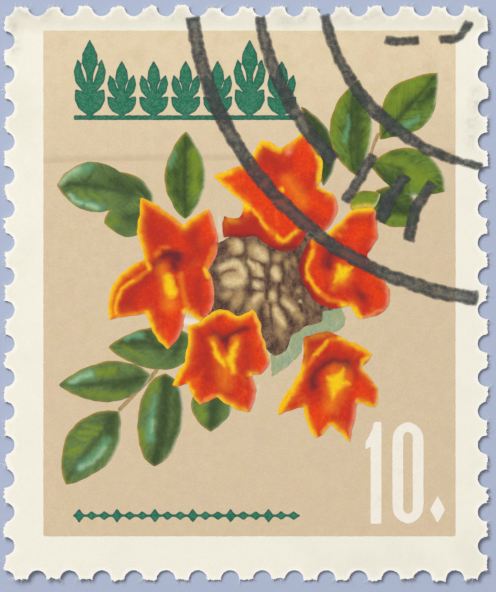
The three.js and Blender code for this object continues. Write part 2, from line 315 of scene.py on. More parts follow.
class StampPaperSettings(bpy.types.PropertyGroup):
    """The paper and its torn edge."""

    tear: length("Tear", "How far torn tooth tips stray from the line of holes", 0.00011)
    fibre: length("Fibre", "Longest loose fibre at a tooth", 0.00030)
    fibres: bpy.props.IntProperty(
        name="Fibres", description="Loose fibres at each tooth", min=0, default=11
    )
    paper: colour("Paper", "Unprinted paper", 244, 240, 225)
    soiled: colour("Soiled", "Paper where it is handled", 226, 221, 204)
    torn: colour("Torn", "Fibres at the torn edge", 250, 248, 240)
    smudged: colour("Smudged", "Grey smudges by the top edge", 196, 194, 182)


class StampInkSettings(bpy.types.PropertyGroup):
    """The printing inks."""

    ground: colour("Ground", "Tint behind the picture", 217, 196, 163)
    ground_light: colour("Ground light", "Tint near the top edge", 227, 208, 174)
    ground_rosy: colour("Ground rosy", "Rosy clouds in the tint", 220, 188, 162)
    ground_straw: colour("Ground straw", "Straw clouds in the tint", 212, 194, 146)
    # Painted shade: this colour darkens the line along the crease and stands for the shade that falls in
    # it.
    crease: colour("Crease", "Soiled line along the crease", 196, 180, 152)
    red: colour("Red", "Petals", 204, 46, 28)
    scarlet: colour("Scarlet", "Brightest petals", 232, 60, 14)
    crimson: colour("Crimson", "Back petals and folds", 176, 44, 34)
    maroon: colour("Maroon", "Shaded petals", 112, 40, 44)
    amber: colour("Amber", "Petal folds and throats", 240, 130, 26)
    gold: colour("Gold", "Petal rims and throats", 248, 204, 20)
    straw: colour("Straw", "Yellow band on the smallest leaf", 222, 192, 70)
    blush: colour("Blush", "Pale petal lights", 244, 168, 130)
    leaf: colour("Leaf", "Leaves", 104, 134, 56)
    leaf_dark: colour("Leaf dark", "Shaded leaves and midribs", 54, 70, 42)
    leaf_cool: colour("Cool leaf", "Greyer green of the leaves on the left", 104, 126, 88)
    lime: colour("Lime", "Lit side of a leaf", 126, 148, 40)
    teal: colour("Teal", "Cool light on a leaf", 104, 166, 126)
    ochre: colour("Ochre", "Fringe on the left of a leaf", 180, 142, 50)
    halo: colour("Halo", "Pale fringe on the right of a leaf", 206, 208, 178)
    # Tan also colours the painted shade in a band just below the crease on the ground.
    tan: colour("Tan", "Dim lights on the buds", 184, 152, 102)
    mint: colour("Mint", "Palest light on a leaf", 180, 208, 168)
    twig: colour("Twig", "Twigs", 166, 132, 82)
    stalk: colour("Stalk", "Flower stalk", 162, 170, 126)
    stalk_cool: colour("Stalk cool", "Cool side of the stalk", 138, 164, 134)
    bud: colour("Bud", "Buds between their lights", 128, 100, 76)
    bud_dark: colour("Bud dark", "Gaps between buds", 74, 52, 46)
    bud_rosy: colour("Bud flecks", "Rosy grey flecks over the buds", 164, 128, 116)
    cream: colour("Cream", "Lights on the buds", 228, 204, 154)
    ornament: colour("Ornament", "Frieze and beaded rule", 36, 112, 84)
    ornament_light: colour("Ornament light", "Worn ornament ink", 88, 146, 116)
    ornament_edge: colour("Ornament edge", "Bluer ink along the ornament's edges", 24, 84, 84)
    white: colour("White", "Unprinted numeral and gaps", 244, 238, 226)
    strike: colour("Strike", "Postmark ink", 64, 68, 70)
    strike_thin: colour("Thin strike", "Postmark ink where it is thin", 100, 102, 96)


class StampStageSettings(bpy.types.PropertyGroup):
    """The table, the camera and the light."""

    table: colour("Table", "Table top", 174, 184, 208)
    camera_height: length("Camera height", "Camera above the table", 0.4)
    margin: bpy.props.FloatProperty(
        name="Margin", description="View height per stamp height", default=1.034
    )
    daylight: bpy.props.FloatProperty(
        name="Daylight", description="Strength of the even light", default=0.40
    )
    lamp: bpy.props.FloatProperty(
        name="Lamp", description="Power of the soft lamp", subtype="POWER", default=1.6
    )


# ---- materials ----
class Value:
    """A socket of a material that can be written in sums, so that 1 - mask adds a Math node."""

    def __init__(self, finish, socket):
        self.finish = finish
        self.socket = socket

    def math(self, operation, *terms):
        return self.finish.node("ShaderNodeMath", {"operation": operation}, dict(enumerate(terms)))

    def __add__(self, other):
        return self.math("ADD", self, other)

    def __sub__(self, other):
        return self.math("SUBTRACT", self, other)

    def __rsub__(self, other):
        return self.math("SUBTRACT", other, self)

    def __mul__(self, other):
        return self.math("MULTIPLY", self, other)

    __radd__ = __add__
    __rmul__ = __mul__

    def most(self, other):
        return self.math("MAXIMUM", self, other)

    def size(self):
        return self.math("ABSOLUTE", self)

    def sine(self):
        return self.math("SINE", self)

    def ramp(self, low, high):
        """0 up to low and 1 from high, with a soft run between."""
        settings = {"interpolation_type": "SMOOTHSTEP"}
        return self.finish.node("ShaderNodeMapRange", settings, {0: self, 1: low, 2: high})


class Finish:
    """One material, built from plain expressions."""

    def __init__(self, name, roughness, shine):
        self.material = bpy.data.materials.new(name)
        self.material.use_nodes = True
        self.tree = self.material.node_tree
        self.shader = self.tree.nodes["Principled BSDF"]
        self.shader.inputs["Roughness"].default_value = roughness
        self.shader.inputs["Specular IOR Level"].default_value = shine
        self.place = self.node("ShaderNodeTexCoord", output="Object")

    def node(self, kind, settings=None, values=None, output=0):
        """A node of a kind, with its settings and the values or links of its sockets."""
        made = self.tree.nodes.new(kind)
        for name, value in (settings or {}).items():
            setattr(made, name, value)
        for key, value in (values or {}).items():
            if isinstance(value, Value):
                self.tree.links.new(value.socket, made.inputs[key])
            else:
                made.inputs[key].default_value = value
        return Value(self, made.outputs[output])

    def noise(self, grain, detail=2.0, rough=0.5, place=None):
        """Noise from 0 to 1 in patches about grain millimetres across."""
        values = {"Vector": place or self.place, "Scale": 1 / (grain * MM)}
        values.update({"Detail": detail, "Roughness": rough})
        return self.node("ShaderNodeTexNoise", {}, values)

    def stretched(self, x, y, angle):
        """The place on the stamp with its X and Y scaled and turned."""
        values = {"Vector": self.place, "Rotation": (0, 0, angle), "Scale": (x, y, 1)}
        return self.node("ShaderNodeMapping", {}, values)

    def painted(self, name):
        """A number stored at the mesh's points."""
        settings = {"attribute_type": "GEOMETRY", "attribute_name": name}
        return self.node("ShaderNodeAttribute", settings, output="Fac")

    def mix(self, share, under, over, way="MIX"):
        """Two colours mixed."""
        settings = {"data_type": "RGBA", "blend_type": way, "clamp_factor": True}
        return self.node("ShaderNodeMix", settings, {0: share, 6: under, 7: over}, 2)

    def shade(self, base, amount):
        """A colour made lighter or darker by a number about 1."""
        return self.mix(1.0, base, amount, "MULTIPLY")

    def grain(self, base, strength):
        """The fine speckle that the printing screen and the paper's fibres give an ink."""
        screen = self.noise(0.075, 1.0) - 0.5
        fibre = self.noise(0.32, 3.0, 0.6) - 0.5
        return self.shade(base, 1 + strength * (1.5 * screen + fibre))

    def link(self, value, name):
        """Feed the shader's socket of that name."""
        self.tree.links.new(value.socket, self.shader.inputs[name])

    def done(self, base, roughness, relief, depth):
        """Link the colour, the roughness and the relief, whose depth is in millimetres."""
        self.link(base, "Base Color")
        self.link(roughness, "Roughness")
        values = {"Strength": 1.0, "Distance": depth * MM, "Height": relief}
        self.link(self.node("ShaderNodeBump", {}, values), "Normal")
        return self.material

    def paper_relief(self):
        """The fibrous tooth of the paper, which shows through every ink."""
        return self.noise(0.12, 4.0, 0.65) + 0.6 * self.noise(0.05, 2.0, 0.6, self.stretched(1, 0.25, 0.5))


def paper_finish(look):
    """Unprinted paper: off-white, faintly soiled, whitest where it is torn."""
    make = Finish("stamp_paper", 0.85, 0.15)
    soil = make.noise(4.5, 3.0, 0.6).ramp(0.45, 0.75) * 0.35
    specks = make.noise(0.22, 2.0).ramp(0.70, 0.78) * 0.3
    soil = soil.most(specks).most(make.painted("soil") * (0.35 + 0.6 * make.noise(0.8, 3.0)))
    base = make.mix(soil, tuple(look.paper), tuple(look.soiled))
    base = make.mix(make.painted("torn").ramp(0.1, 0.9) * 0.8, base, tuple(look.torn))
    grimy = make.painted("smudge") * (0.2 + 0.7 * make.noise(0.3, 3.0, 0.7).ramp(0.4, 0.65))
    base = make.mix(grimy, base, tuple(look.smudged))
    return make.done(make.grain(base, 0.05), 0.8 + 0.15 * make.noise(0.5), make.paper_relief(), 0.006)


def fibre_finish(look):
    """Loose paper fibres."""
    make = Finish("torn_fibre", 0.9, 0.1)
    base = make.mix(make.noise(0.1), tuple(look.torn), tuple(look.paper))
    return make.done(base, 0.85 + 0.1 * make.noise(0.2), make.noise(0.03), 0.001)


def ground_finish(look):
    """The buff tint behind the picture, lighter at the top, with painted shade along a crease across it and
    just below it.
    """
    make = Finish("ground_tint", 0.7, 0.2)
    up = make.painted("up") + 0.12 * (make.noise(6.0, 3.0) - 0.5)
    base = make.mix(up.ramp(0.62, 1.0), tuple(look.ground), tuple(look.ground_light))
    worn = make.noise(0.45, 3.0, 0.65).ramp(0.55, 0.8) * 0.22
    base = make.mix(worn, base, tuple(look.ground_light))
    base = make.mix(make.noise(0.8, 3.0).ramp(0.5, 0.7) * 0.3, base, tuple(look.ground_rosy))
    base = make.mix(make.noise(0.7, 3.0).ramp(0.5, 0.7) * 0.3, base, tuple(look.ground_straw))
    # Painted shade: a darker line along the crease stands for the shade that falls in it; the same line
    # also dents the relief.
    crease = make.painted("crease") * make.noise(0.6, 2.0).ramp(0.2, 0.5)
    base = make.mix(crease * 0.45, base, tuple(look.crease))
    # Painted shade: a tan band just below the crease.
    base = make.mix(make.painted("below") * 0.35, base, tuple(look.tan))
    base = make.mix(make.painted("pale") * 0.7, base, tuple(look.white))
    relief = make.paper_relief() - 0.5 * crease
    return make.done(make.grain(base, 0.13), 0.62 + 0.2 * make.noise(0.4), relief, 0.005)


def petal_finish(look):
    """Petals: red to scarlet, streaked along the petal, with maroon shade and golden rims."""
    make = Finish("petal_print", 0.7, 0.1)
    wash = make.noise(1.3, 3.0, 0.6)
    glow = (0.75 * make.painted("scarlet") + 1.6 * (wash - 0.5) + 0.25).ramp(0.0, 1.0)
    base = make.mix(glow, tuple(look.red), tuple(look.scarlet))
    rays = make.painted("ray")
    base = make.mix((rays - 0.1).ramp(0.0, 0.8) * 0.45, base, tuple(look.crimson))
    base = make.mix((0 - rays).ramp(0.15, 0.9) * 0.25, base, tuple(look.amber))
    screen = make.noise(0.11, 2.0, 0.6) - 0.5
    base = make.mix(screen.ramp(0.0, 0.25) * 0.15, base, tuple(look.amber))
    base = make.mix((0 - screen).ramp(0.0, 0.2) * 0.3, base, tuple(look.crimson))
    dry = make.noise(0.16, 3.0, 0.7)
    strengths = (("crimson", 0.85), ("maroon", 1.05), ("blush", 0.8), ("amber", 0.85), ("gold", 0.95))
    for tone, strength in strengths:
        share = make.painted(tone) * (strength - 0.25 + 0.5 * dry)
        base = make.mix(share, base, tuple(getattr(look, tone)))
    return make.done(make.grain(base, 0.16), 0.5 + 0.25 * dry, make.paper_relief(), 0.004)


def leaf_finish(look):
    """Leaves: green streaked along the veins, with a dark midrib and lime and teal lights."""
    make = Finish("leaf_print", 0.7, 0.1)
    wash = make.noise(0.5, 3.0, 0.65)
    base = make.mix(0.35 + 0.65 * wash.ramp(0.35, 0.65), tuple(look.leaf_dark), tuple(look.leaf))
    base = make.mix(make.noise(0.9, 2.0).ramp(0.5, 0.75) * 0.25, base, tuple(look.lime))
    side = make.painted("across")
    slope = make.painted("along") - 0.3 * side.size()
    veins = (0.5 + 0.5 * (slope * 56).sine()).ramp(0.55, 1.0)
    base = make.mix(veins * (0.05 + 0.3 * wash), base, tuple(look.lime))
    place = make.node("ShaderNodeCombineXYZ", {}, {0: slope * 26, 1: side * 1.4, 2: make.painted("number")})
    streak = make.node("ShaderNodeTexNoise", {}, {"Vector": place, "Scale": 1.0, "Detail": 3.0})
    base = make.mix((streak - 0.5).ramp(0.0, 0.25) * 0.45, base, tuple(look.lime))
    base = make.mix((0.5 - streak).ramp(0.0, 0.25) * 0.4, base, tuple(look.leaf_dark))
    base = make.mix((1 - side.size().ramp(0.02, 0.16)) * 0.55, base, tuple(look.leaf_dark))
    base = make.mix(make.painted("cool") * 0.4, base, tuple(look.leaf_cool))
    dry = make.noise(0.14, 3.0, 0.7)
    base = make.mix(make.painted("dark") * (0.6 + 0.5 * dry), base, tuple(look.leaf_dark))
    for tone in ("lime", "teal", "mint", "straw", "ochre", "halo"):
        share = make.painted(tone) * (0.45 + 0.5 * dry + 0.3 * streak)
        base = make.mix(share, base, tuple(getattr(look, tone)))
    return make.done(make.grain(base, 0.22), 0.55 + 0.25 * dry, make.paper_relief(), 0.004)


def stem_finish(look, name, tone, other):
    """Twigs and stalk: one pale tone with darker dry-brushed patches."""
    make = Finish(name, 0.65, 0.2)
    dry = make.noise(0.35, 3.0, 0.65)
    streak = make.noise(0.3, 3.0, 0.6, make.stretched(2.2, 0.7, -0.5))
    base = make.mix(dry.ramp(0.4, 0.68), tuple(getattr(look, tone)), tuple(getattr(look, other)))
    base = make.mix(streak.ramp(0.45, 0.8) * 0.45, base, tuple(look.halo))
    base = make.mix(make.painted("dark").ramp(0.2, 0.9) * 0.6, base, tuple(look.bud))
    return make.done(make.grain(base, 0.16), 0.55 + 0.2 * dry, make.paper_relief(), 0.004)


def bud_finish(look):
    """The bud cluster: cream lights over brown, with dark gaps and rosy flecks."""
    make = Finish("bud_print", 0.7, 0.1)
    wash = make.noise(0.3, 3.0, 0.65, make.stretched(1.6, 0.8, 0.3))
    base = make.mix(wash.ramp(0.3, 0.6), tuple(look.bud_dark), tuple(look.bud))
    base = make.mix(make.noise(0.2, 2.0).ramp(0.55, 0.75) * 0.35, base, tuple(look.tan))
    dry = make.noise(0.12, 3.0, 0.7)
    flecks = make.noise(0.09, 2.0, 0.6).ramp(0.5, 0.62)
    for field, tone in (("tan", "tan"), ("dark", "bud_dark"), ("cream", "cream")):
        share = make.painted(field) * (0.7 + 0.5 * dry)
        base = make.mix(share, base, tuple(getattr(look, tone)))
    base = make.mix(flecks * 0.18, base, tuple(look.bud_rosy))
    return make.done(make.grain(base, 0.3), 0.55 + 0.2 * dry, make.paper_relief(), 0.004)


def ornament_finish(look):
    """Green ornament ink, speckled by the printing screen and darker along its edges."""
    make = Finish("ornament_print", 0.7, 0.1)
    worn = make.noise(0.5, 4.0, 0.7).ramp(0.5, 0.7)
    specks = make.noise(0.09, 2.0, 0.7).ramp(0.42, 0.62)
    light = 0.3 * worn + 0.5 * specks
    base = make.mix(light, tuple(look.ornament), tuple(look.ornament_light))
    base = make.mix(make.painted("rim") * 0.6, base, tuple(look.ornament_edge))
    return make.done(make.grain(base, 0.2), 0.55 + 0.25 * worn, make.paper_relief(), 0.004)


def white_finish(look):
    """The bare paper of the numeral, faintly tinted by the ground's screen."""
    make = Finish("numeral_white", 0.8, 0.15)
    tint = make.noise(0.3, 3.0, 0.6).ramp(0.5, 0.85) * 0.35
    base = make.mix(tint, tuple(look.white), tuple(look.ground_light))
    return make.done(make.grain(base, 0.07), 0.75 + 0.15 * make.noise(0.4), make.paper_relief(), 0.006)


def strike_finish(look):
    """Postmark ink: see-through, patchy, streaked lengthwise, and softer at its edges."""
    make = Finish("postmark_ink", 0.75, 0.1)
    worn = make.noise(0.25, 4.0, 0.75).ramp(0.4, 0.7)
    specks = make.noise(0.07, 2.0, 0.6).ramp(0.5, 0.75)
    middle = make.painted("middle")
    base = make.mix(worn.most(middle) * 0.8, tuple(look.strike), tuple(look.strike_thin))
    cover = 0.88 - 0.2 * worn - 0.22 * specks - 0.16 * middle - 0.55 * make.painted("rim")
    make.link(cover * make.painted("upper"), "Alpha")
    return make.done(make.grain(base, 0.25), 0.65 + 0.25 * worn, make.paper_relief(), 0.004)


def table_finish(look):
    """A smooth matt table top, very faintly clouded."""
    make = Finish("table_top", 0.8, 0.2)
    base = make.shade(tuple(look.table), 0.985 + 0.03 * make.noise(9.0, 3.0))
    return make.done(base, 0.75 + 0.1 * make.noise(5.0), make.noise(0.4, 2.0), 0.004)


def coat(made, material):
    """Give a piece one material."""
    made.data.materials.clear()
    made.data.materials.append(material)


# ---- paper ----
def torn_outline(loop, tear):
    """The sheet's outline with its tooth tips torn unevenly off the line of holes."""
    loop = even(loop, TEAR_SPACING)
    half = SHEET_HIGH[:2]
    depth = half - np.abs(loop)  # how far inside each pair of sides a point lies
    side = np.argmin(depth, axis=1)
    near = depth[np.arange(len(loop)), side]
    sway = np.clip(1 - near / 0.3, 0, 1)
    along = np.where(side == 0, loop[:, 1], loop[:, 0])
    flat = np.column_stack([along, 40 * side + 20 * (loop[np.arange(len(loop)), side] > 0)])
    fray = 0.9 * cloud(flat, 0.9, 3) + 0.75 * cloud(flat, 0.22, 4, 3) + 0.35 * cloud(flat, 0.06, 5)
    reach = tear / MM * fray
    push = np.zeros_like(loop)
    push[np.arange(len(loop)), side] = np.sign(loop[np.arange(len(loop)), side]) * reach * sway
    return roughen(loop + push, 0.012, 0.09, 6)


def tooth_tips():
    """Where each tooth ends and the direction it points in, all round the sheet."""
    tips = []
    for side, other, teeth in ((1, 0, TEETH[0]), (0, 1, TEETH[1])):
        pitch = 2 * SHEET_HIGH[other] / teeth
        for sign in (-1, 1):
            for i in range(teeth):
                tip, way = np.zeros(2), np.zeros(2)
                tip[other] = -SHEET_HIGH[other] + pitch * (i + 0.5)
                tip[side] = sign * SHEET_HIGH[side]
                way[side] = sign
                tips.append((tip, way, pitch))
    return tips


def loose_fibres(longest, count):
    """Thin curved hairs of paper that stand out of the torn tooth tips."""
    rng = np.random.default_rng(12)
    spans = 4  # straight stretches in each fibre
    corners, faces = [], []
    for tip, way, pitch in tooth_tips():
        sideways = way[::-1]
        for _ in range(count):
            root = tip + sideways * rng.uniform(-0.24, 0.24) * pitch - way * rng.uniform(0.03, 0.12)
            turn = rng.uniform(-1.1, 1.1)
            run = way * math.cos(turn) + sideways * math.sin(turn)
            bend = np.array([-run[1], run[0]]) * rng.uniform(-0.5, 0.5)
            reach = longest / MM * rng.uniform(0.25, 1.0) ** 1.6 + 0.06
            level = FACE * rng.uniform(0.25, 0.85)
            thick = rng.uniform(0.006, 0.011)
            first = len(corners)
            for t in np.linspace(0, 1, spans + 1):
                centre = root + reach * (run * t + bend * t * t)
                across = np.array([-run[1], run[0]])
                rise = lift(centre[None])[0] + level + 0.03 * t
                size = thick * (1 - 0.8 * t)
                corners += [(*(centre + across * size), rise), (*(centre - across * size), rise)]
                corners.append((*centre, rise + 1.6 * size))
            for step in range(spans):
                a = first + 3 * step
                faces += [(a + i, a + (i + 1) % 3, a + 3 + (i + 1) % 3, a + 3 + i) for i in range(3)]
            end = first + 3 * spans
            faces += [(first + 2, first + 1, first), (end, end + 1, end + 2)]
    return np.array(corners), faces


# A mark is a tone, its stroke's width, how soft its edge is, and the points of its path. A width in
# brackets runs from the start of the stroke to its end.
PAPER_MARKS = [
    ("smudge", 0.25, 0.3, (1.2, 11.85), (1.7, 11.6), (2.5, 11.85)),
    ("smudge", 0.1, 0.5, (-4.5, 11.9), (-1.5, 11.85)),
    ("smudge", 0.1, 0.5, (3.8, 11.8), (6.0, 11.9)),
    ("smudge", 0.2, 0.5, (9.6, 6.5), (9.9, 8.6)),
    ("smudge", 0.2, 0.5, (-9.9, 10.4), (-9.8, 11.8), (-8.4, 11.9)),
]


class STAMP_OT_lay_paper(bpy.types.Operator):
    """Lay the perforated paper with its torn teeth and loose fibres"""

    bl_idname = "stamp.lay_paper"
    bl_label = "Lay Paper"

    def execute(self, context):
        look = context.scene.stamp_paper
        bottom, top = heights("sheet")
        loop = torn_outline(outlines("sheet")[0], look.tear)
        points, faces = fill([loop], SHEET_SPACING)
        sheet = film("torn_sheet", ["sheet"], "paper", points, faces, bottom, top)
        soil = np.clip((points[:, 1] - TOP_MARGIN) / 0.5, 0, 1)
        torn = np.exp(-gap(points, [loop]) / 0.06)
        paint(sheet, torn=torn, soil=soil, **strokes(points, PAPER_MARKS, ["smudge"], 7, 0.2))
        coat(sheet, paper_finish(look))
        corners, hairs = loose_fibres(look.fibre, look.fibres)
        fibres = piece("loose_fibres", [], corners, hairs)
        coat(fibres, fibre_finish(look))
        return {"FINISHED"}


# ---- prints ----
def printed_shape(node, slot, passes, depth, grain, seed, above=0.0, spacing=PRINT_SPACING):
    """A film in the shape of a node, with its outline rounded in passes and a little uneven."""
    rounded = [soften(even(loop, spacing), passes) for loop in outlines(node)]
    loops = [roughen(loop, depth, grain, seed) for loop in rounded]
    points, faces = fill(loops, spacing)
    bottom, top = heights(node)
    made = film(f"{node}_print", [node], slot, points, faces, bottom, top + above)
    return made, points, loops


class STAMP_OT_print_ground(bpy.types.Operator):
    """Print the tinted ground of the picture"""

    bl_idname = "stamp.print_ground"
    bl_label = "Print Ground"

    def execute(self, context):
        made, points, _ = printed_shape(
            "panel", "ground_ink", passes=0, depth=0.012, grain=0.2, seed=20, spacing=PANEL_SPACING
        )
        low, high = (np.array(corner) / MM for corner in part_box("panel"))
        up = (points[:, 1] - low[1]) / (high[1] - low[1])
        share = (points[:, 0] - low[0]) / (high[0] - low[0])
        line = CREASE_LEFT + CREASE_CLIMB * share + 0.03 * np.sin(9 * share)
        above = points[:, 1] - line
        # Painted shade along the crease, and in a band just below it, stored as masks for the ground's
        # finish.
        paint(
            made,
            up=up,
            crease=np.exp(-((above / 0.06) ** 2)) * np.clip(1.1 - 0.5 * share, 0, 1),
            below=np.exp(-(((above + 0.12) / 0.08) ** 2)),
            **strokes(points, GROUND_MARKS, ["pale"], 22, 0.05),
        )
        coat(made, ground_finish(context.scene.stamp_inks))
        return {"FINISHED"}


# Bare paper that shows beside the blooms.
GROUND_MARKS = [
    ("pale", 0.3, 0.16, (-2.6, -1.2), (-2.1, -1.28)),
    ("pale", 0.02, 0.1, (-1.16, 3.3), (-1.12, 2.6)),
    ("pale", 0.02, 0.1, (0.5, -3.9), (0.42, -4.3), (0.2, -5.0)),
    ("pale", 0.02, 0.1, (5.15, 1.7), (5.6, 2.5)),
    ("pale", 0.02, 0.1, (3.85, 3.6), (3.5, 2.95)),
]

# Leaves printed in a greyer green.
COOL_LEAVES = ("leaf_1", "leaf_2", "leaf_3", "leaf_11", "leaf_12", "leaf_13", "leaf_14", "leaf_15")

LEAF_MARKS = {
    "leaf_1": [
        ("dark", 0.2, 0.3, (-7.6, 4.65), (-6.4, 4.6), (-4.9, 4.2)),
        ("dark", 0.6, 0.6, (-5.7, 4.8), (-4.9, 4.4)),
        ("dark", 0.14, 0.2, (-6.9, 4.6), (-6.5, 5.3)),
        ("teal", 0.3, 0.4, (-7.3, 5.2), (-6.7, 5.4)),
        ("mint", 0.22, 0.25, (-7.95, 4.75), (-7.6, 5.05), (-7.25, 5.3)),
        ("mint", 0.1, 0.16, (-7.55, 4.2), (-7.3, 3.95), (-7.05, 3.85)),
        ("mint", 0.12, 0.16, (-6.8, 3.78), (-6.35, 3.64)),
        ("teal", 0.24, 0.3, (-7.4, 4.0), (-6.2, 3.65)),
        ("lime", 0.14, 0.2, (-7.1, 4.3), (-6.8, 4.0)),
        ("lime", 0.14, 0.2, (-6.6, 4.25), (-6.2, 3.95)),
    ],
    "leaf_2": [("dark", 0.7, 0.5, (-5.6, 4.9), (-4.4, 4.2))],
    "leaf_3": [
        ("lime", 0.3, 0.35, (-5.95, 2.95), (-5.6, 3.1)),
        ("dark", 0.4, 0.5, (-5.0, 3.2), (-4.5, 3.3)),
    ],
    "leaf_4": [
        ("dark", 0.35, 0.4, (-2.55, 3.3), (-2.7, 4.9), (-2.6, 6.6)),
        ("dark", 0.5, 0.5, (-2.9, 4.2), (-3.0, 5.2)),
        ("teal", 0.16, 0.25, (-3.25, 5.5), (-3.12, 6.05)),
        ("lime", 0.3, 0.4, (-2.2, 6.0), (-2.15, 5.2), (-2.2, 4.4)),
        ("lime", 0.12, 0.2, (-3.2, 6.3), (-2.9, 6.7)),
    ],
    "leaf_5": [("dark", 1.2, 0.5, (2.4, 7.8), (3.2, 6.5), (3.3, 5.0))],
    "leaf_6": [
        ("dark", 0.5, 0.4, (4.8, 5.2), (4.75, 6.8), (4.7, 8.2)),
        ("dark", 0.2, 0.2, (4.6, 8.6), (4.65, 7.4), (4.6, 6.2)),
        ("teal", (0.05, 0.12), 0.14, (4.38, 7.6), (4.36, 7.2), (4.2, 6.5)),
        ("lime", 0.2, 0.25, (3.75, 6.6), (3.85, 7.6), (4.2, 8.4)),
        ("lime", 0.15, 0.25, (5.25, 6.0), (5.25, 7.2)),
    ],
    "leaf_7": [
        ("dark", 0.18, 0.3, (5.9, 6.95), (7.0, 8.0), (8.1, 9.3)),
        ("lime", 0.5, 0.5, (6.2, 7.9), (6.7, 8.6), (7.3, 9.0)),
        ("dark", 0.08, 0.12, (6.6, 7.6), (6.8, 8.8)),
        ("dark", 0.08, 0.12, (7.1, 8.1), (7.3, 9.0)),
        ("dark", 0.3, 0.4, (7.4, 8.0), (7.95, 8.6)),
        ("teal", (0.3, 0.12), 0.2, (6.6, 7.0), (6.9, 7.2), (7.35, 7.45)),
    ],
    "leaf_8": [
        ("dark", 0.6, 0.5, (5.6, 5.2), (6.3, 4.6)),
        ("dark", 0.5, 0.3, (6.6, 5.1), (6.5, 4.4)),
        ("lime", 0.8, 0.4, (7.1, 5.1), (7.6, 4.8)),
        ("lime", 0.25, 0.35, (5.9, 5.65), (6.8, 5.65)),
        ("mint", 0.05, 0.06, (6.3, 4.55), (6.5, 4.7), (6.65, 4.9)),
        ("mint", 0.18, 0.18, (6.8, 4.0), (7.15, 4.15)),
    ],
    "leaf_9": [
        ("dark", 0.8, 0.5, (5.8, 4.0), (6.8, 3.6)),
        ("lime", 0.2, 0.3, (6.0, 3.2), (7.2, 3.1)),
    ],
    "leaf_10": [
        ("lime", 0.45, 0.3, (4.7, 3.95), (5.4, 4.05)),
        ("dark", 0.12, 0.2, (4.9, 4.4), (5.7, 4.4)),
        ("straw", 0.24, 0.16, (4.4, 3.6), (4.9, 3.7), (5.5, 3.72)),
    ],
    "leaf_11": [
        ("dark", 0.3, 0.3, (-5.3, -2.12), (-4.3, -2.1), (-3.6, -2.3)),
        ("dark", 0.4, 0.4, (-4.3, -1.6), (-4.0, -2.0)),
        ("dark", 0.3, 0.3, (-2.8, -1.9), (-3.0, -2.6)),
        ("teal", 0.24, 0.16, (-5.1, -1.9), (-4.8, -1.8), (-4.5, -1.8)),
        ("lime", 0.12, 0.25, (-5.2, -2.3), (-4.5, -2.7)),
    ],
    "leaf_12": [
        ("dark", 0.16, 0.2, (-7.4, -3.95), (-5.8, -3.85), (-4.4, -3.62)),
        ("dark", 0.5, 0.45, (-5.6, -3.95), (-4.6, -3.7)),
        ("teal", 0.26, 0.3, (-7.4, -3.75), (-7.0, -3.55), (-6.6, -3.45)),
        ("mint", 0.1, 0.22, (-7.45, -3.78), (-7.0, -3.55), (-6.65, -3.42)),
        ("lime", 0.34, 0.25, (-6.25, -3.4), (-5.7, -3.35)),
        ("dark", 0.05, 0.1, (-6.25, -3.85), (-5.95, -3.2)),
        ("dark", 0.05, 0.1, (-5.75, -3.8), (-5.45, -3.2)),
        ("lime", 0.16, 0.3, (-6.9, -4.25), (-5.9, -4.4), (-5.2, -4.3)),
    ],
    "leaf_13": [
        ("dark", 0.14, 0.25, (-5.7, -5.4), (-6.5, -6.5), (-7.6, -7.9)),
        ("dark", 0.6, 0.5, (-5.75, -5.4), (-5.8, -5.9)),
        ("lime", 0.1, 0.12, (-7.3, -6.1), (-6.75, -6.3)),
        ("lime", 0.16, 0.14, (-7.1, -5.95), (-6.4, -6.0)),
        ("lime", 0.14, 0.14, (-6.9, -5.65), (-6.2, -5.75)),
        ("lime", 0.22, 0.2, (-7.6, -6.85), (-7.2, -6.65)),
        ("teal", (0.2, 0.3), 0.3, (-5.95, -6.3), (-6.35, -6.85), (-7.1, -7.45)),
        ("mint", 0.08, 0.2, (-6.05, -6.6), (-6.4, -7.05), (-7.1, -7.5)),
    ],
    "leaf_14": [
        ("lime", 0.2, 0.3, (-3.85, -3.75), (-4.2, -4.7)),
        ("dark", 0.5, 0.3, (-3.4, -3.7), (-3.45, -5.0), (-3.6, -6.2), (-3.9, -7.2)),
        ("dark", 0.3, 0.5, (-3.0, -4.4), (-3.0, -5.6), (-3.3, -6.4)),
        ("teal", (0.1, 0.3), 0.2, (-3.88, -4.4), (-4.05, -5.2), (-4.12, -6.2)),
        ("mint", 0.03, 0.14, (-4.0, -5.4), (-4.04, -5.9)),
        ("lime", 0.2, 0.3, (-4.4, -5.9), (-4.35, -6.5)),
    ],
    "leaf_15": [
        ("lime", 0.3, 0.35, (-1.95, -4.9), (-1.85, -5.3)),
        ("dark", 0.45, 0.35, (-1.35, -4.7), (-1.45, -5.6)),
    ],
}
LEAF_TONES = ("lime", "teal", "mint", "dark", "straw")

# Prints that run into the ones under them without a rim.
JOINED = {
    "leaf_1": ("leaf_2", "leaf_3"),
    "leaf_8": ("leaf_9",),
    "bloom_right": ("bud_cluster",),
    "bloom_top": ("bud_cluster",),
}

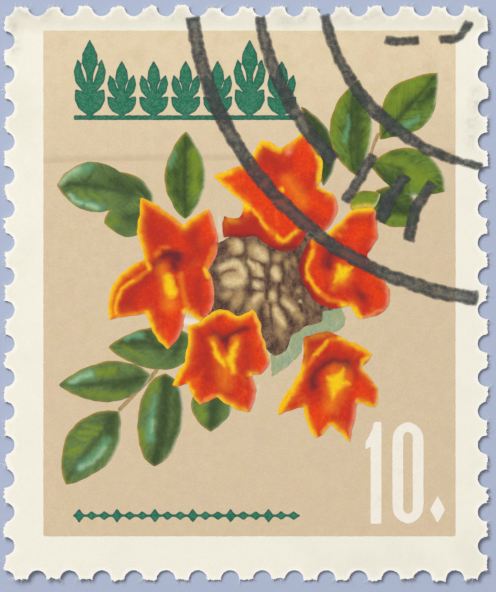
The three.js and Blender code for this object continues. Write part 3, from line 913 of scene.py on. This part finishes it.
BLOOM_MARKS = {
    "bloom_left": [
        ("scarlet", 0.3, 0.9, (-1.6, 3.1), (-1.5, 2.2)),
        ("scarlet", 0.7, 0.6, (-3.1, -0.7), (-3.3, -1.9)),
        ("scarlet", 0.4, 0.4, (-1.6, 0.4), (-1.6, -0.6)),
        ("crimson", 0.6, 0.9, (-4.2, 3.0), (-3.6, 2.3)),
        ("crimson", 0.55, 0.4, (-4.1, 0.85), (-4.7, 0.35), (-5.1, -0.5)),
        ("crimson", 0.5, 0.6, (-2.9, 1.25), (-2.3, 1.5)),
        ("crimson", 0.35, 0.6, (-2.1, 0.5), (-1.95, -0.3)),
        ("crimson", 0.3, 0.5, (-4.0, 1.35), (-3.6, 0.9)),
        ("maroon", (0.3, 0.5), 0.3, (-3.6, 1.5), (-3.25, 1.65), (-2.95, 1.55)),
        ("maroon", 0.3, 0.3, (-3.15, 1.6), (-3.05, 1.15)),
        ("maroon", 0.1, 0.25, (-3.95, 1.2), (-3.6, 1.4)),
        ("amber", (0.35, 0.5), 0.4, (-3.6, 1.05), (-3.4, 0.4), (-3.25, -0.5)),
        ("amber", (0.12, 0.2), 0.2, (-2.8, 0.8), (-2.7, 0.1), (-2.5, -0.6)),
        ("amber", 0.2, 0.2, (-5.6, -0.98), (-5.0, -1.0), (-4.35, -0.8)),
        ("amber", (0.14, 0.26), 0.16, (-4.2, 1.3), (-4.15, 1.0), (-4.65, 0.65), (-5.05, 0.35),
         (-5.35, 0.05), (-5.55, -0.4), (-5.55, -1.0)),
        ("amber", 0.14, 0.2, (-3.9, 1.6), (-3.75, 1.72)),
        ("amber", 0.1, 0.2, (-3.6, 1.95), (-3.35, 2.0)),
        ("amber", 0.16, 0.16, (-4.5, 4.0), (-3.9, 3.6), (-3.3, 3.3), (-2.7, 2.8)),
        ("amber", 0.16, 0.16, (-2.65, 2.9), (-2.2, 3.25), (-1.7, 3.5)),
        ("crimson", 0.5, 0.5, (-2.3, 2.5), (-2.1, 1.9)),
        ("amber", 0.16, 0.2, (-1.4, 1.9), (-1.65, 1.2)),
        ("gold", (0.34, 0.46), 0.2, (-3.36, 0.65), (-3.28, 0.4), (-3.18, 0.1)),
        ("gold", 0.08, 0.12, (-4.3, 1.42), (-4.15, 1.02)),
        ("gold", 0.08, 0.12, (-4.9, 0.5), (-5.4, 0.0), (-5.6, -0.9)),
        ("gold", 0.22, 0.16, (-4.55, 4.0), (-4.7, 2.9), (-4.6, 2.0), (-4.35, 1.5)),
        ("gold", 0.14, 0.16, (-4.35, 1.5), (-5.2, 0.9), (-5.75, 0.0), (-5.85, -1.1)),
        ("gold", 0.2, 0.16, (-4.25, -0.85), (-4.1, -1.35), (-3.4, -2.4)),
        ("gold", 0.2, 0.16, (-2.6, -0.75), (-2.3, -0.98), (-2.0, -1.15)),
        ("gold", 0.16, 0.14, (-1.76, 1.0), (-1.62, 0.75)),
        ("blush", 0.08, 0.14, (-1.6, 3.5), (-1.27, 2.7), (-1.25, 2.2)),
    ],
    "bloom_lower_middle": [
        ("scarlet", 0.6, 0.7, (0.5, -1.9), (0.6, -3.0)),
        ("scarlet", 0.5, 0.6, (-2.6, -3.6), (-2.0, -4.2)),
        ("scarlet", 0.6, 0.6, (-0.6, -1.2), (0.1, -1.2)),
        ("crimson", 0.45, 0.5, (-1.8, -1.9), (-1.75, -2.8), (-1.6, -3.6)),
        ("crimson", 0.35, 0.5, (0.05, -2.2), (0.1, -3.4)),
        ("crimson", 0.4, 0.4, (-1.5, -1.7), (-0.9, -1.75), (0.0, -1.5)),
        ("maroon", (0.14, 0.26), 0.2, (-1.4, -1.72), (-1.05, -1.95), (-0.85, -2.05)),
        ("maroon", (0.26, 0.12), 0.2, (-0.95, -2.0), (-0.65, -1.85), (-0.3, -1.6), (0.1, -1.5)),
        ("maroon", 0.12, 0.16, (-0.88, -2.1), (-0.85, -2.4)),
        ("amber", (0.3, 0.2), 0.3, (-1.4, -2.0), (-1.25, -2.5), (-1.0, -3.1)),
        ("amber", 0.34, 0.3, (-0.4, -2.05), (-0.6, -2.7), (-0.6, -3.35)),
        ("amber", (0.6, 0.3), 0.6, (-0.85, -2.9), (-0.9, -3.9)),
        ("gold", (0.12, 0.22), 0.14, (-1.4, -2.15), (-1.28, -2.5), (-1.1, -2.85)),
        ("gold", (0.22, 0.1), 0.14, (-1.1, -2.85), (-0.92, -3.1)),
        ("gold", (0.1, 0.34), 0.16, (-0.4, -2.15), (-0.58, -2.5), (-0.68, -2.85)),
        ("gold", (0.34, 0.1), 0.16, (-0.68, -2.85), (-0.6, -3.1), (-0.55, -3.35)),
        ("gold", 0.26, 0.16, (-2.45, -1.5), (-2.55, -2.2), (-2.65, -2.9), (-3.05, -3.85)),
        ("gold", 0.22, 0.18, (-2.4, -1.4), (-1.9, -1.15), (-1.1, -0.75), (-0.45, -1.02), (0.25, -0.7)),
        ("gold", 0.18, 0.16, (-2.45, -3.9), (-2.3, -4.3), (-2.05, -4.75)),
        ("gold", 0.12, 0.14, (0.3, -0.75), (0.6, -1.5), (0.9, -2.5), (0.98, -2.8)),
        ("amber", 0.16, 0.2, (-1.7, -4.55), (-1.25, -4.45), (0.0, -5.05)),
        ("blush", 0.08, 0.14, (0.5, -3.55), (0.28, -3.5), (0.45, -4.1), (0.25, -4.9)),
        ("blush", 0.06, 0.14, (-1.9, -4.7), (-1.3, -4.4), (-0.7, -4.75)),
    ],
    "bloom_lower_right": [
        ("scarlet", 0.5, 0.6, (4.6, -2.4), (5.1, -2.6)),
        ("scarlet", 0.6, 0.6, (3.0, -5.2), (3.3, -5.7)),
        ("scarlet", 0.5, 0.6, (4.9, -3.9), (5.2, -4.5)),
        ("bare", 0.5, 0.3, (2.3, -2.8), (2.35, -1.9), (3.4, -1.5), (3.9, -1.7)),
        ("crimson", 0.6, 0.25, (2.65, -2.1), (3.4, -1.75)),
        ("crimson", 0.4, 0.3, (2.7, -2.3), (2.6, -2.7)),
        ("crimson", 0.4, 0.5, (3.1, -2.9), (2.85, -3.5), (2.8, -4.1)),
        ("crimson", 0.35, 0.5, (3.4, -2.6), (4.2, -2.6), (4.7, -2.9)),
        ("crimson", 0.3, 0.3, (4.4, -3.0), (4.7, -3.5)),
        ("maroon", (0.2, 0.32), 0.25, (3.0, -3.3), (3.4, -3.0), (3.8, -2.9), (4.3, -3.0)),
        ("maroon", (0.2, 0.35), 0.3, (3.0, -3.3), (2.85, -3.65), (2.9, -3.95)),
        ("amber", (0.9, 0.5), 0.5, (3.95, -3.6), (3.8, -4.2), (3.6, -4.8)),
        ("amber", 0.16, 0.16, (4.1, -1.97), (3.6, -1.98), (3.3, -2.25), (2.95, -2.65), (2.6, -3.1)),
        ("amber", 0.26, 0.25, (2.45, -3.1), (2.2, -3.9), (1.5, -5.0)),
        ("gold", 0.6, 0.2, (3.88, -3.78), (3.84, -3.9)),
        ("gold", (0.4, 0.08), 0.16, (4.0, -3.6), (4.15, -3.25)),
        ("gold", (0.4, 0.08), 0.16, (3.8, -3.8), (3.45, -3.6)),
        ("gold", (0.4, 0.06), 0.16, (3.8, -3.9), (3.7, -4.5)),
        ("gold", (0.3, 0.06), 0.16, (4.05, -3.8), (4.4, -3.9)),
        ("gold", 0.06, 0.12, (3.5, -2.02), (3.25, -2.3), (2.95, -2.65)),
        ("gold", 0.22, 0.16, (2.38, -3.2), (2.1, -3.9), (1.35, -5.1)),
        ("gold", 0.18, 0.16, (2.48, -4.95), (2.65, -5.7), (2.95, -6.15)),
        ("gold", 0.16, 0.18, (3.35, -6.0), (3.62, -5.65), (3.9, -6.0)),
        ("gold", 0.18, 0.18, (4.0, -1.9), (4.3, -2.0), (5.35, -2.58)),
        ("gold", 0.14, 0.16, (5.35, -2.6), (4.95, -3.1), (5.6, -4.0), (5.55, -4.85), (4.8, -4.65)),
        ("gold", 0.12, 0.14, (3.9, -6.0), (4.4, -6.3)),
        ("blush", 0.06, 0.12, (4.75, -4.65), (4.6, -5.6), (4.45, -6.25)),
    ],
    "bloom_top": [
        ("scarlet", 1.4, 0.9, (-0.4, 4.6), (0.6, 4.3), (1.6, 3.2)),
        ("scarlet", 0.6, 0.6, (2.6, 5.4), (2.4, 6.2)),
        ("scarlet", 0.6, 0.7, (2.7, 4.2), (3.3, 3.6)),
        ("bare", 0.5, 0.3, (-0.2, 3.3), (-0.95, 3.3), (-1.05, 2.3)),
        ("crimson", 1.1, 0.3, (-0.9, 2.8), (0.2, 2.75)),
        ("crimson", 0.42, 0.16, (0.3, 2.75), (0.75, 2.35), (1.2, 2.0), (1.7, 1.95), (2.35, 2.5)),
        ("crimson", 0.5, 0.6, (0.7, 5.9), (1.5, 5.4)),
        ("crimson", 0.3, 0.5, (2.2, 3.4), (2.9, 3.1)),
        ("maroon", 0.16, 0.3, (-0.9, 2.4), (0.3, 2.4), (0.9, 1.98), (2.1, 1.95)),
        ("amber", 0.35, 0.5, (1.8, 4.8), (2.1, 4.4), (2.4, 3.9)),
        ("amber", 0.2, 0.16, (0.0, 3.75), (0.5, 3.4), (0.7, 3.05), (1.1, 2.62), (1.4, 2.33), (1.6, 2.22),
         (1.85, 2.35), (2.2, 2.7)),
        ("amber", 0.3, 0.3, (1.7, 6.2), (2.0, 6.5)),
        ("gold", 0.24, 0.16, (-1.3, 4.9), (-0.75, 4.4), (-0.15, 3.85), (0.1, 3.65)),
        ("gold", 0.26, 0.18, (-1.35, 5.0), (-0.7, 5.2)),
        ("gold", 0.07, 0.14, (0.3, 3.55), (0.6, 3.15), (0.9, 2.8)),
        ("gold", 0.08, 0.12, (1.3, 2.42), (1.6, 2.24), (1.8, 2.32), (2.1, 2.6)),
        ("gold", 0.12, 0.14, (1.48, 4.5), (1.52, 4.4)),
        ("gold", 0.22, 0.16, (0.45, 6.2), (0.7, 6.45), (1.4, 6.15)),
        ("gold", 0.24, 0.16, (1.9, 6.5), (2.35, 6.8)),
        ("gold", 0.22, 0.16, (3.0, 6.1), (3.22, 5.5), (3.1, 4.7)),
        ("gold", 0.16, 0.14, (3.1, 4.5), (3.6, 4.3)),
        ("blush", 0.16, 0.25, (1.85, 6.35), (1.8, 6.05)),
        ("blush", 0.08, 0.12, (3.85, 4.0), (3.78, 3.3), (3.45, 2.72)),
    ],
    "bloom_right": [
        ("scarlet", 0.7, 0.7, (5.3, 0.6), (5.7, -0.2)),
        ("scarlet", 0.5, 0.4, (3.1, 1.4), (3.1, 0.6)),
        ("scarlet", 0.6, 0.6, (4.6, 2.4), (5.2, 2.8)),
        ("crimson", 0.42, 0.2, (2.6, 2.1), (2.35, 1.1), (2.5, 0.4), (2.95, -0.2), (3.7, -0.62)),
        ("crimson", 0.45, 0.5, (4.7, 0.1), (5.1, -0.3)),
        ("crimson", 0.4, 0.5, (3.5, 2.2), (3.3, 1.3)),
        ("maroon", 0.3, 0.4, (3.7, 2.0), (3.5, 1.2)),
        ("maroon", 0.16, 0.3, (2.55, 2.1), (2.28, 1.2), (2.4, 0.4), (2.85, -0.2)),
        ("maroon", 0.14, 0.3, (4.85, 0.0), (5.0, -0.2)),
        ("amber", 0.7, 0.4, (4.15, 0.85), (4.05, 0.7)),
        ("amber", (0.4, 0.1), 0.3, (4.0, 0.6), (3.7, 0.2)),
        ("amber", (0.2, 0.16), 0.14, (2.85, 2.2), (2.88, 1.9), (2.66, 1.2), (2.66, 0.8), (2.84, 0.4),
         (3.1, 0.07), (3.35, -0.15), (3.75, -0.34), (4.2, -0.42), (4.45, -0.55), (4.9, -1.1)),
        ("amber", 0.14, 0.2, (3.9, 2.55), (4.0, 2.5)),
        ("amber", 0.14, 0.2, (4.15, 2.85), (4.25, 2.8)),
        ("gold", 0.42, 0.2, (4.15, 0.85), (4.08, 0.75)),
        ("gold", (0.3, 0.06), 0.14, (4.2, 0.95), (4.5, 1.12)),
        ("gold", (0.3, 0.06), 0.14, (4.05, 0.9), (3.95, 1.2)),
        ("gold", (0.3, 0.06), 0.14, (4.0, 0.75), (3.75, 0.5)),
        ("gold", 0.08, 0.12, (2.84, 1.8), (2.64, 1.2), (2.66, 0.8), (2.84, 0.4), (3.1, 0.07)),
        ("gold", 0.2, 0.16, (4.1, -0.48), (4.5, -0.65), (4.88, -1.1)),
        ("gold", 0.14, 0.14, (3.7, 2.75), (4.1, 3.1), (4.45, 3.5), (5.4, 3.6)),
        ("blush", 0.08, 0.14, (4.95, -1.1), (6.0, -0.55), (5.98, 0.3)),
    ],
}
# The bare strokes keep the golden rim away.
BLOOM_TONES = ("scarlet", "crimson", "maroon", "blush", "amber", "gold", "bare")

BUD_MARKS = [
    ("tan", 0.5, 0.25, (-0.5, 2.05), (-0.35, 1.9)),
    ("tan", 0.6, 0.25, (0.3, 1.85), (0.6, 1.65)),
    ("tan", 0.4, 0.2, (0.12, 1.35), (0.35, 1.1), (0.6, 0.85)),
    ("tan", 0.26, 0.16, (1.35, 1.55), (1.35, 1.45)),
    ("tan", 0.2, 0.2, (1.75, 1.3), (1.75, 1.15)),
    ("tan", 0.14, 0.16, (2.05, 1.5), (2.08, 1.3)),
    ("tan", 0.4, 0.2, (1.25, 0.95), (1.32, 0.7)),
    ("tan", 0.42, 0.25, (0.65, -0.1), (0.38, -0.35), (0.25, -0.6)),
    ("tan", 0.42, 0.3, (-0.2, 0.0), (-0.5, -0.4)),
    ("tan", 0.3, 0.2, (-0.75, -0.05), (-0.95, -0.2)),
    ("tan", 1.05, 0.2, (-0.6, 0.78), (-0.52, 0.72)),
    ("tan", 0.24, 0.2, (1.12, 0.05), (1.14, -0.3)),
    ("tan", 0.14, 0.14, (1.55, 0.25), (1.6, 0.1)),
    ("tan", 0.14, 0.16, (2.2, 0.15), (2.25, 0.05)),
    ("tan", 0.16, 0.2, (0.9, -0.55), (0.92, -0.95)),
    ("tan", 0.2, 0.25, (2.6, -0.45), (2.85, -0.75)),
    ("tan", 0.22, 0.2, (2.1, -0.85), (2.35, -1.1)),
    ("tan", 0.36, 0.2, (1.62, -0.3), (2.05, -0.75)),
    ("tan", 0.4, 0.2, (1.25, -0.65), (1.42, -1.05), (1.6, -1.35)),
    ("tan", 0.2, 0.3, (1.4, -1.6), (1.5, -1.9)),
    ("dark", 0.1, 0.14, (-1.05, 0.78), (-0.8, 0.9), (-0.5, 0.98)),
    ("dark", 0.26, 0.25, (-1.35, 0.8), (-1.25, 0.6)),
    ("dark", 0.3, 0.25, (0.08, 0.35), (0.1, 0.0)),
    ("dark", 0.36, 0.3, (-1.2, -0.35), (-0.85, -0.45)),
    ("dark", 0.12, 0.12, (1.0, 2.0), (1.05, 1.4), (0.96, 0.6), (0.88, -0.2)),
    ("dark", 0.08, 0.1, (0.1, 1.5), (0.5, 1.38), (0.78, 1.1), (0.86, 0.7)),
    ("dark", 0.06, 0.08, (0.35, 1.3), (0.55, 1.0)),
    ("dark", 0.12, 0.12, (0.0, 1.6), (0.05, 1.0), (0.25, 0.65)),
    ("dark", 0.1, 0.1, (0.1, 0.6), (0.5, 0.62), (0.8, 0.45)),
    ("dark", 0.08, 0.1, (0.2, 0.15), (0.7, 0.12)),
    ("dark", 0.14, 0.14, (1.58, 1.1), (1.6, 0.4)),
    ("dark", 0.16, 0.16, (1.4, 0.4), (1.42, 0.0), (1.4, -0.4), (1.8, -1.0)),
    ("dark", 0.16, 0.16, (-0.08, 2.3), (-0.06, 1.75), (-0.5, 1.5)),
    ("dark", 0.24, 0.2, (0.62, -0.75), (0.75, -1.4)),
    ("dark", 0.1, 0.1, (1.02, -0.5), (1.1, -1.3)),
    ("dark", 0.26, 0.2, (1.9, -1.2), (2.0, -1.4)),
    ("dark", 0.26, 0.3, (2.0, 1.9), (2.35, 1.2), (2.3, 0.4)),
    ("dark", 0.3, 0.3, (1.15, -2.35), (1.3, -2.1)),
    ("dark", 0.2, 0.25, (2.4, -0.3), (3.0, -0.9)),
    ("dark", 0.2, 0.25, (-1.3, 1.6), (-0.9, 2.0)),
    ("cream", 0.2, 0.25, (-0.35, 2.1), (-0.3, 1.95)),
    ("cream", 0.24, 0.2, (-1.08, 1.08), (-0.6, 1.32), (-0.2, 1.12), (-0.1, 0.75)),
    ("cream", 0.36, 0.3, (-0.72, 0.48), (-0.3, 0.5)),
    ("cream", 0.26, 0.22, (0.5, 1.82), (0.74, 1.55)),
    ("cream", 0.12, 0.14, (0.12, 1.38), (0.34, 1.05)),
    ("cream", 0.14, 0.14, (0.45, 1.2), (0.66, 0.82)),
    ("cream", 0.24, 0.18, (0.42, 0.4), (0.56, 0.34)),
    ("cream", 0.26, 0.18, (1.22, 0.92), (1.3, 0.72)),
    ("cream", 0.12, 0.16, (1.12, 0.0), (1.14, -0.22)),
    ("cream", 0.18, 0.2, (0.55, -0.12), (0.36, -0.32)),
    ("cream", 0.14, 0.16, (1.68, -0.38), (1.98, -0.7)),
    ("cream", 0.16, 0.18, (1.28, -0.7), (1.4, -1.0), (1.54, -1.25)),
    ("cream", 0.08, 0.1, (2.29, -0.34), (2.33, -0.36)),
]
BUD_TONES = ("tan", "dark", "cream")


def fringes(points, loops, width, seed, over=()):
    """The rims where an ink plate lies a little off: one on left and upper edges, one on right ones.

    There are none where the print lies over the other outlines.
    """
    away, way = border_from(points, loops)
    patchy = smoothstep(0.85 + 0.9 * cloud(points, 0.7, seed))
    rim = patchy * np.exp(-((away / width) ** 2))
    for loop in over:
        rim *= smoothstep(gap(points, [loop]) / 0.4 - 0.5) * ~inside(points, [loop])
    left = smoothstep(0.7 - 0.6 * way[:, 0] + 0.3 * way[:, 1])
    right = smoothstep(1.1 * way[:, 0] - 0.3)
    return rim * left, rim * right


def leaf_places(points, loop):
    """How far along and across a leaf each point lies, across from -1 to 1."""
    apart = np.linalg.norm(loop[:, None] - loop[None], axis=2)
    ends = np.unravel_index(apart.argmax(), apart.shape)
    base, tip = sorted((loop[i] for i in ends), key=lambda end: float(np.linalg.norm(end)))
    reach = np.linalg.norm(tip - base)
    run = (tip - base) / reach
    left = np.array([-run[1], run[0]])
    border = loop - base
    t, side = border @ run / reach, border @ left
    stations = np.linspace(0, 1, 40)
    window = 0.04
    upper = np.array([side[np.abs(t - s) < window].max(initial=0) for s in stations])
    lower = np.array([side[np.abs(t - s) < window].min(initial=0) for s in stations])
    along = (points - base) @ run / reach
    middle = np.interp(along, stations, (upper + lower) / 2)
    half = np.interp(along, stations, (upper - lower) / 2) + 0.02
    return along, np.clip(((points - base) @ left - middle) / half, -1, 1)


class STAMP_OT_print_leaves(bpy.types.Operator):
    """Print the leaves with their midribs, veins and lights"""

    bl_idname = "stamp.print_leaves"
    bl_label = "Print Leaves"

    def execute(self, context):
        material = leaf_finish(context.scene.stamp_inks)
        for number, node in enumerate(LEAVES):
            above = LEAF_STEP * (number % 2)
            made, points, loops = printed_shape(
                node, "leaf_ink", passes=2, depth=0.035, grain=0.5, seed=30 + number, above=above
            )
            along, across = leaf_places(points, loops[0])
            fields = strokes(points, LEAF_MARKS[node], LEAF_TONES, 30 + number, 0.06)
            over = [outlines(other)[0] for other in JOINED.get(node, ())]
            fields["ochre"], fields["halo"] = fringes(points, loops, 0.07, 60 + number, over)
            fields["cool"] = np.full(len(points), float(node in COOL_LEAVES))
            fields["number"] = np.full(len(points), 7.0 * number)
            paint(made, along=along, across=across, **fields)
            coat(made, material)
        return {"FINISHED"}


class STAMP_OT_print_stems(bpy.types.Operator):
    """Print the two twigs and the flower stalk"""

    bl_idname = "stamp.print_stems"
    bl_label = "Print Stems"

    def execute(self, context):
        look = context.scene.stamp_inks
        twig = stem_finish(look, "twig_print", "twig", "tan")
        stalk = stem_finish(look, "stalk_print", "stalk", "stalk_cool")
        jobs = [(node, "twig_ink", twig, 0.01) for node in TWIGS]
        jobs.append(("flower_stalk", "stalk_ink", stalk, 0.06))
        for node, slot, material, depth in jobs:
            made, points, loops = printed_shape(node, slot, passes=2, depth=depth, grain=0.3, seed=50)
            paint(made, dark=np.exp(-gap(points, loops) / 0.04) * smoothstep(cloud(points, 0.6, 51)))
            coat(made, material)
        return {"FINISHED"}


class STAMP_OT_print_buds(bpy.types.Operator):
    """Print the cluster of buds"""

    bl_idname = "stamp.print_buds"
    bl_label = "Print Buds"

    def execute(self, context):
        made, points, _ = printed_shape(
            "bud_cluster", "bud_ink", passes=3, depth=0.05, grain=0.4, seed=70
        )
        paint(made, **strokes(points, BUD_MARKS, BUD_TONES, 71, 0.07))
        coat(made, bud_finish(context.scene.stamp_inks))
        return {"FINISHED"}


def rays(points, marks, seed):
    """Streaks from -1 to 1 that run out of a bloom's throat along its petals."""
    throat = np.mean([point for tone, _, _, *path in marks if tone == "gold" for point in path], axis=0)
    run = points - throat
    reach = np.linalg.norm(run, axis=1)
    turn = np.column_stack([run / np.maximum(reach, 1e-6)[:, None] * 4, reach * 0.9])
    streaks = [noise.fractal(Vector(place) + Vector((0, 0, seed * 5.3)), 1.0, 2.0, 3) for place in turn]
    return np.array(streaks) * smoothstep(reach / 0.8)


class STAMP_OT_print_blooms(bpy.types.Operator):
    """Print the five blooms with their golden rims, folds and throats"""

    bl_idname = "stamp.print_blooms"
    bl_label = "Print Blooms"

    def execute(self, context):
        material = petal_finish(context.scene.stamp_inks)
        for number, node in enumerate(BLOOMS):
            made, points, loops = printed_shape(
                node, "petal_ink", passes=3, depth=0.06, grain=0.45, seed=80 + number
            )
            fields = strokes(points, BLOOM_MARKS[node], BLOOM_TONES, 80 + number, 0.07)
            over = [outlines(other)[0] for other in JOINED.get(node, ())]
            rimmed = 1 - fields.pop("bare")
            gold, pale = (rimmed * rim for rim in fringes(points, loops, 0.14, 90 + number, over))
            glow = rimmed * fringes(points, loops, 0.26, 90 + number, over)[0]
            fields["gold"] = np.maximum(fields["gold"], gold)
            fields["amber"] = np.maximum(fields["amber"], glow)
            fields["blush"] = np.maximum(fields["blush"], 0.8 * pale)
            fields["ray"] = rays(points, BLOOM_MARKS[node], 95 + number)
            paint(made, **fields)
            coat(made, material)
        return {"FINISHED"}


class STAMP_OT_print_ornament(bpy.types.Operator):
    """Print the frieze above the picture and the beaded rule below it"""

    bl_idname = "stamp.print_ornament"
    bl_label = "Print Ornament"

    def execute(self, context):
        material = ornament_finish(context.scene.stamp_inks)
        for node in ("title_frieze", "caption_rule"):
            made, points, loops = printed_shape(
                node, "ornament_ink", passes=1, depth=0.014, grain=0.12, seed=100
            )
            paint(made, rim=np.exp(-((gap(points, loops) / 0.06) ** 2)))
            coat(made, material)
        return {"FINISHED"}


class STAMP_OT_print_value(bpy.types.Operator):
    """Leave the numeral and its lozenge white"""

    bl_idname = "stamp.print_value"
    bl_label = "Print Value"

    def execute(self, context):
        material = white_finish(context.scene.stamp_inks)
        for node in VALUE:
            made, _, _ = printed_shape(
                node, "numeral", passes=1, depth=0.012, grain=0.15, seed=110
            )
            coat(made, material)
        return {"FINISHED"}


class STAMP_OT_strike_postmark(bpy.types.Operator):
    """Strike the worn rings and bars of the postmark"""

    bl_idname = "stamp.strike_postmark"
    bl_label = "Strike Postmark"

    def execute(self, context):
        material = strike_finish(context.scene.stamp_inks)
        for number, node in enumerate(POSTMARK):
            rounded = soften(even(outlines(node)[0], PRINT_SPACING), passes=4)
            loop = roughen(rounded, depth=0.07, grain=0.4, seed=120 + number)
            points, faces = fill([loop], PRINT_SPACING)
            made = film(f"{node}_strike", [node], "postmark_ink", points, faces, *heights(node))
            away = gap(points, [loop])
            streaks = smoothstep(0.5 + cloud(points, 0.5, 140 + number, 3)) * smoothstep(away / 0.16 - 0.6)
            paint(made, rim=np.exp(-((away / 0.06) ** 2)), middle=streaks)
            paint(made, under=0.0, upper=np.ones(len(points)))
            coat(made, material)
        return {"FINISHED"}


# ---- stage ----
# In metres.
TABLE_SIZE = 0.6
TABLE_TOP = -1e-5  # just clear of the stamp's underside
LAMP_PLACE = (-0.18, 0.22, 0.34)
LAMP_SIZE = 0.25
CAMERA_ASIDE = (0.00008, -0.00012)  # how far off the stamp's middle the camera stands


class STAMP_OT_set_stage(bpy.types.Operator):
    """Set the table, the even light, the soft lamp and the camera above the stamp"""

    bl_idname = "stamp.set_stage"
    bl_label = "Set Stage"

    def execute(self, context):
        look = context.scene.stamp_stage
        bpy.ops.mesh.primitive_plane_add(size=TABLE_SIZE, location=(0, 0, TABLE_TOP))
        table = context.object
        table.name = "table"
        coat(table, table_finish(look))

        world = bpy.data.worlds.new("even_light")
        world.use_nodes = True
        world.node_tree.nodes["Background"].inputs["Color"].default_value = (1, 1, 1, 1)
        world.node_tree.nodes["Background"].inputs["Strength"].default_value = look.daylight
        context.scene.world = world

        light = bpy.data.lights.new("soft_lamp", "AREA")
        light.shape = "DISK"
        light.size = LAMP_SIZE
        light.energy = look.lamp
        lamp = bpy.data.objects.new("soft_lamp", light)
        lamp.location = LAMP_PLACE
        lamp.rotation_euler = Vector(lamp.location).to_track_quat("Z", "Y").to_euler()
        context.scene.collection.objects.link(lamp)

        lens = bpy.data.cameras.new("camera")
        lens.sensor_fit = "VERTICAL"
        lens.sensor_height = 36
        stamp_height = 2 * SHEET_HIGH[1] * MM
        lens.lens = lens.sensor_height * look.camera_height / (look.margin * stamp_height)
        camera = bpy.data.objects.new("camera", lens)
        camera.location = (*CAMERA_ASIDE, look.camera_height)
        context.scene.collection.objects.link(camera)
        context.scene.camera = camera
        context.scene.view_settings.view_transform = "Standard"
        return {"FINISHED"}


class STAMP_PT_panel(bpy.types.Panel):
    """Lists every step of making the stamp"""

    bl_idname = "STAMP_PT_panel"
    bl_label = "Stamp"
    bl_space_type = "VIEW_3D"
    bl_region_type = "UI"
    bl_category = "Stamp"

    def draw(self, context):
        for operator in OPERATORS:
            self.layout.operator(operator.bl_idname)


OPERATORS = (
    STAMP_OT_lay_paper,
    STAMP_OT_print_ground,
    STAMP_OT_print_leaves,
    STAMP_OT_print_stems,
    STAMP_OT_print_buds,
    STAMP_OT_print_blooms,
    STAMP_OT_print_ornament,
    STAMP_OT_print_value,
    STAMP_OT_strike_postmark,
    STAMP_OT_set_stage,
)
SETTINGS = {
    "stamp_paper": StampPaperSettings,
    "stamp_inks": StampInkSettings,
    "stamp_stage": StampStageSettings,
}


def register():
    for group in (*SETTINGS.values(), *OPERATORS, STAMP_PT_panel):
        bpy.utils.register_class(group)
    for name, group in SETTINGS.items():
        setattr(bpy.types.Scene, name, bpy.props.PointerProperty(type=group))


def unregister():
    for name in SETTINGS:
        delattr(bpy.types.Scene, name)
    for group in (STAMP_PT_panel, *reversed(OPERATORS), *reversed(SETTINGS.values())):
        bpy.utils.unregister_class(group)


def main():
    register()
    for operator in OPERATORS:
        getattr(bpy.ops.stamp, operator.bl_idname.split(".")[1])()


if __name__ == "__main__":
    main()
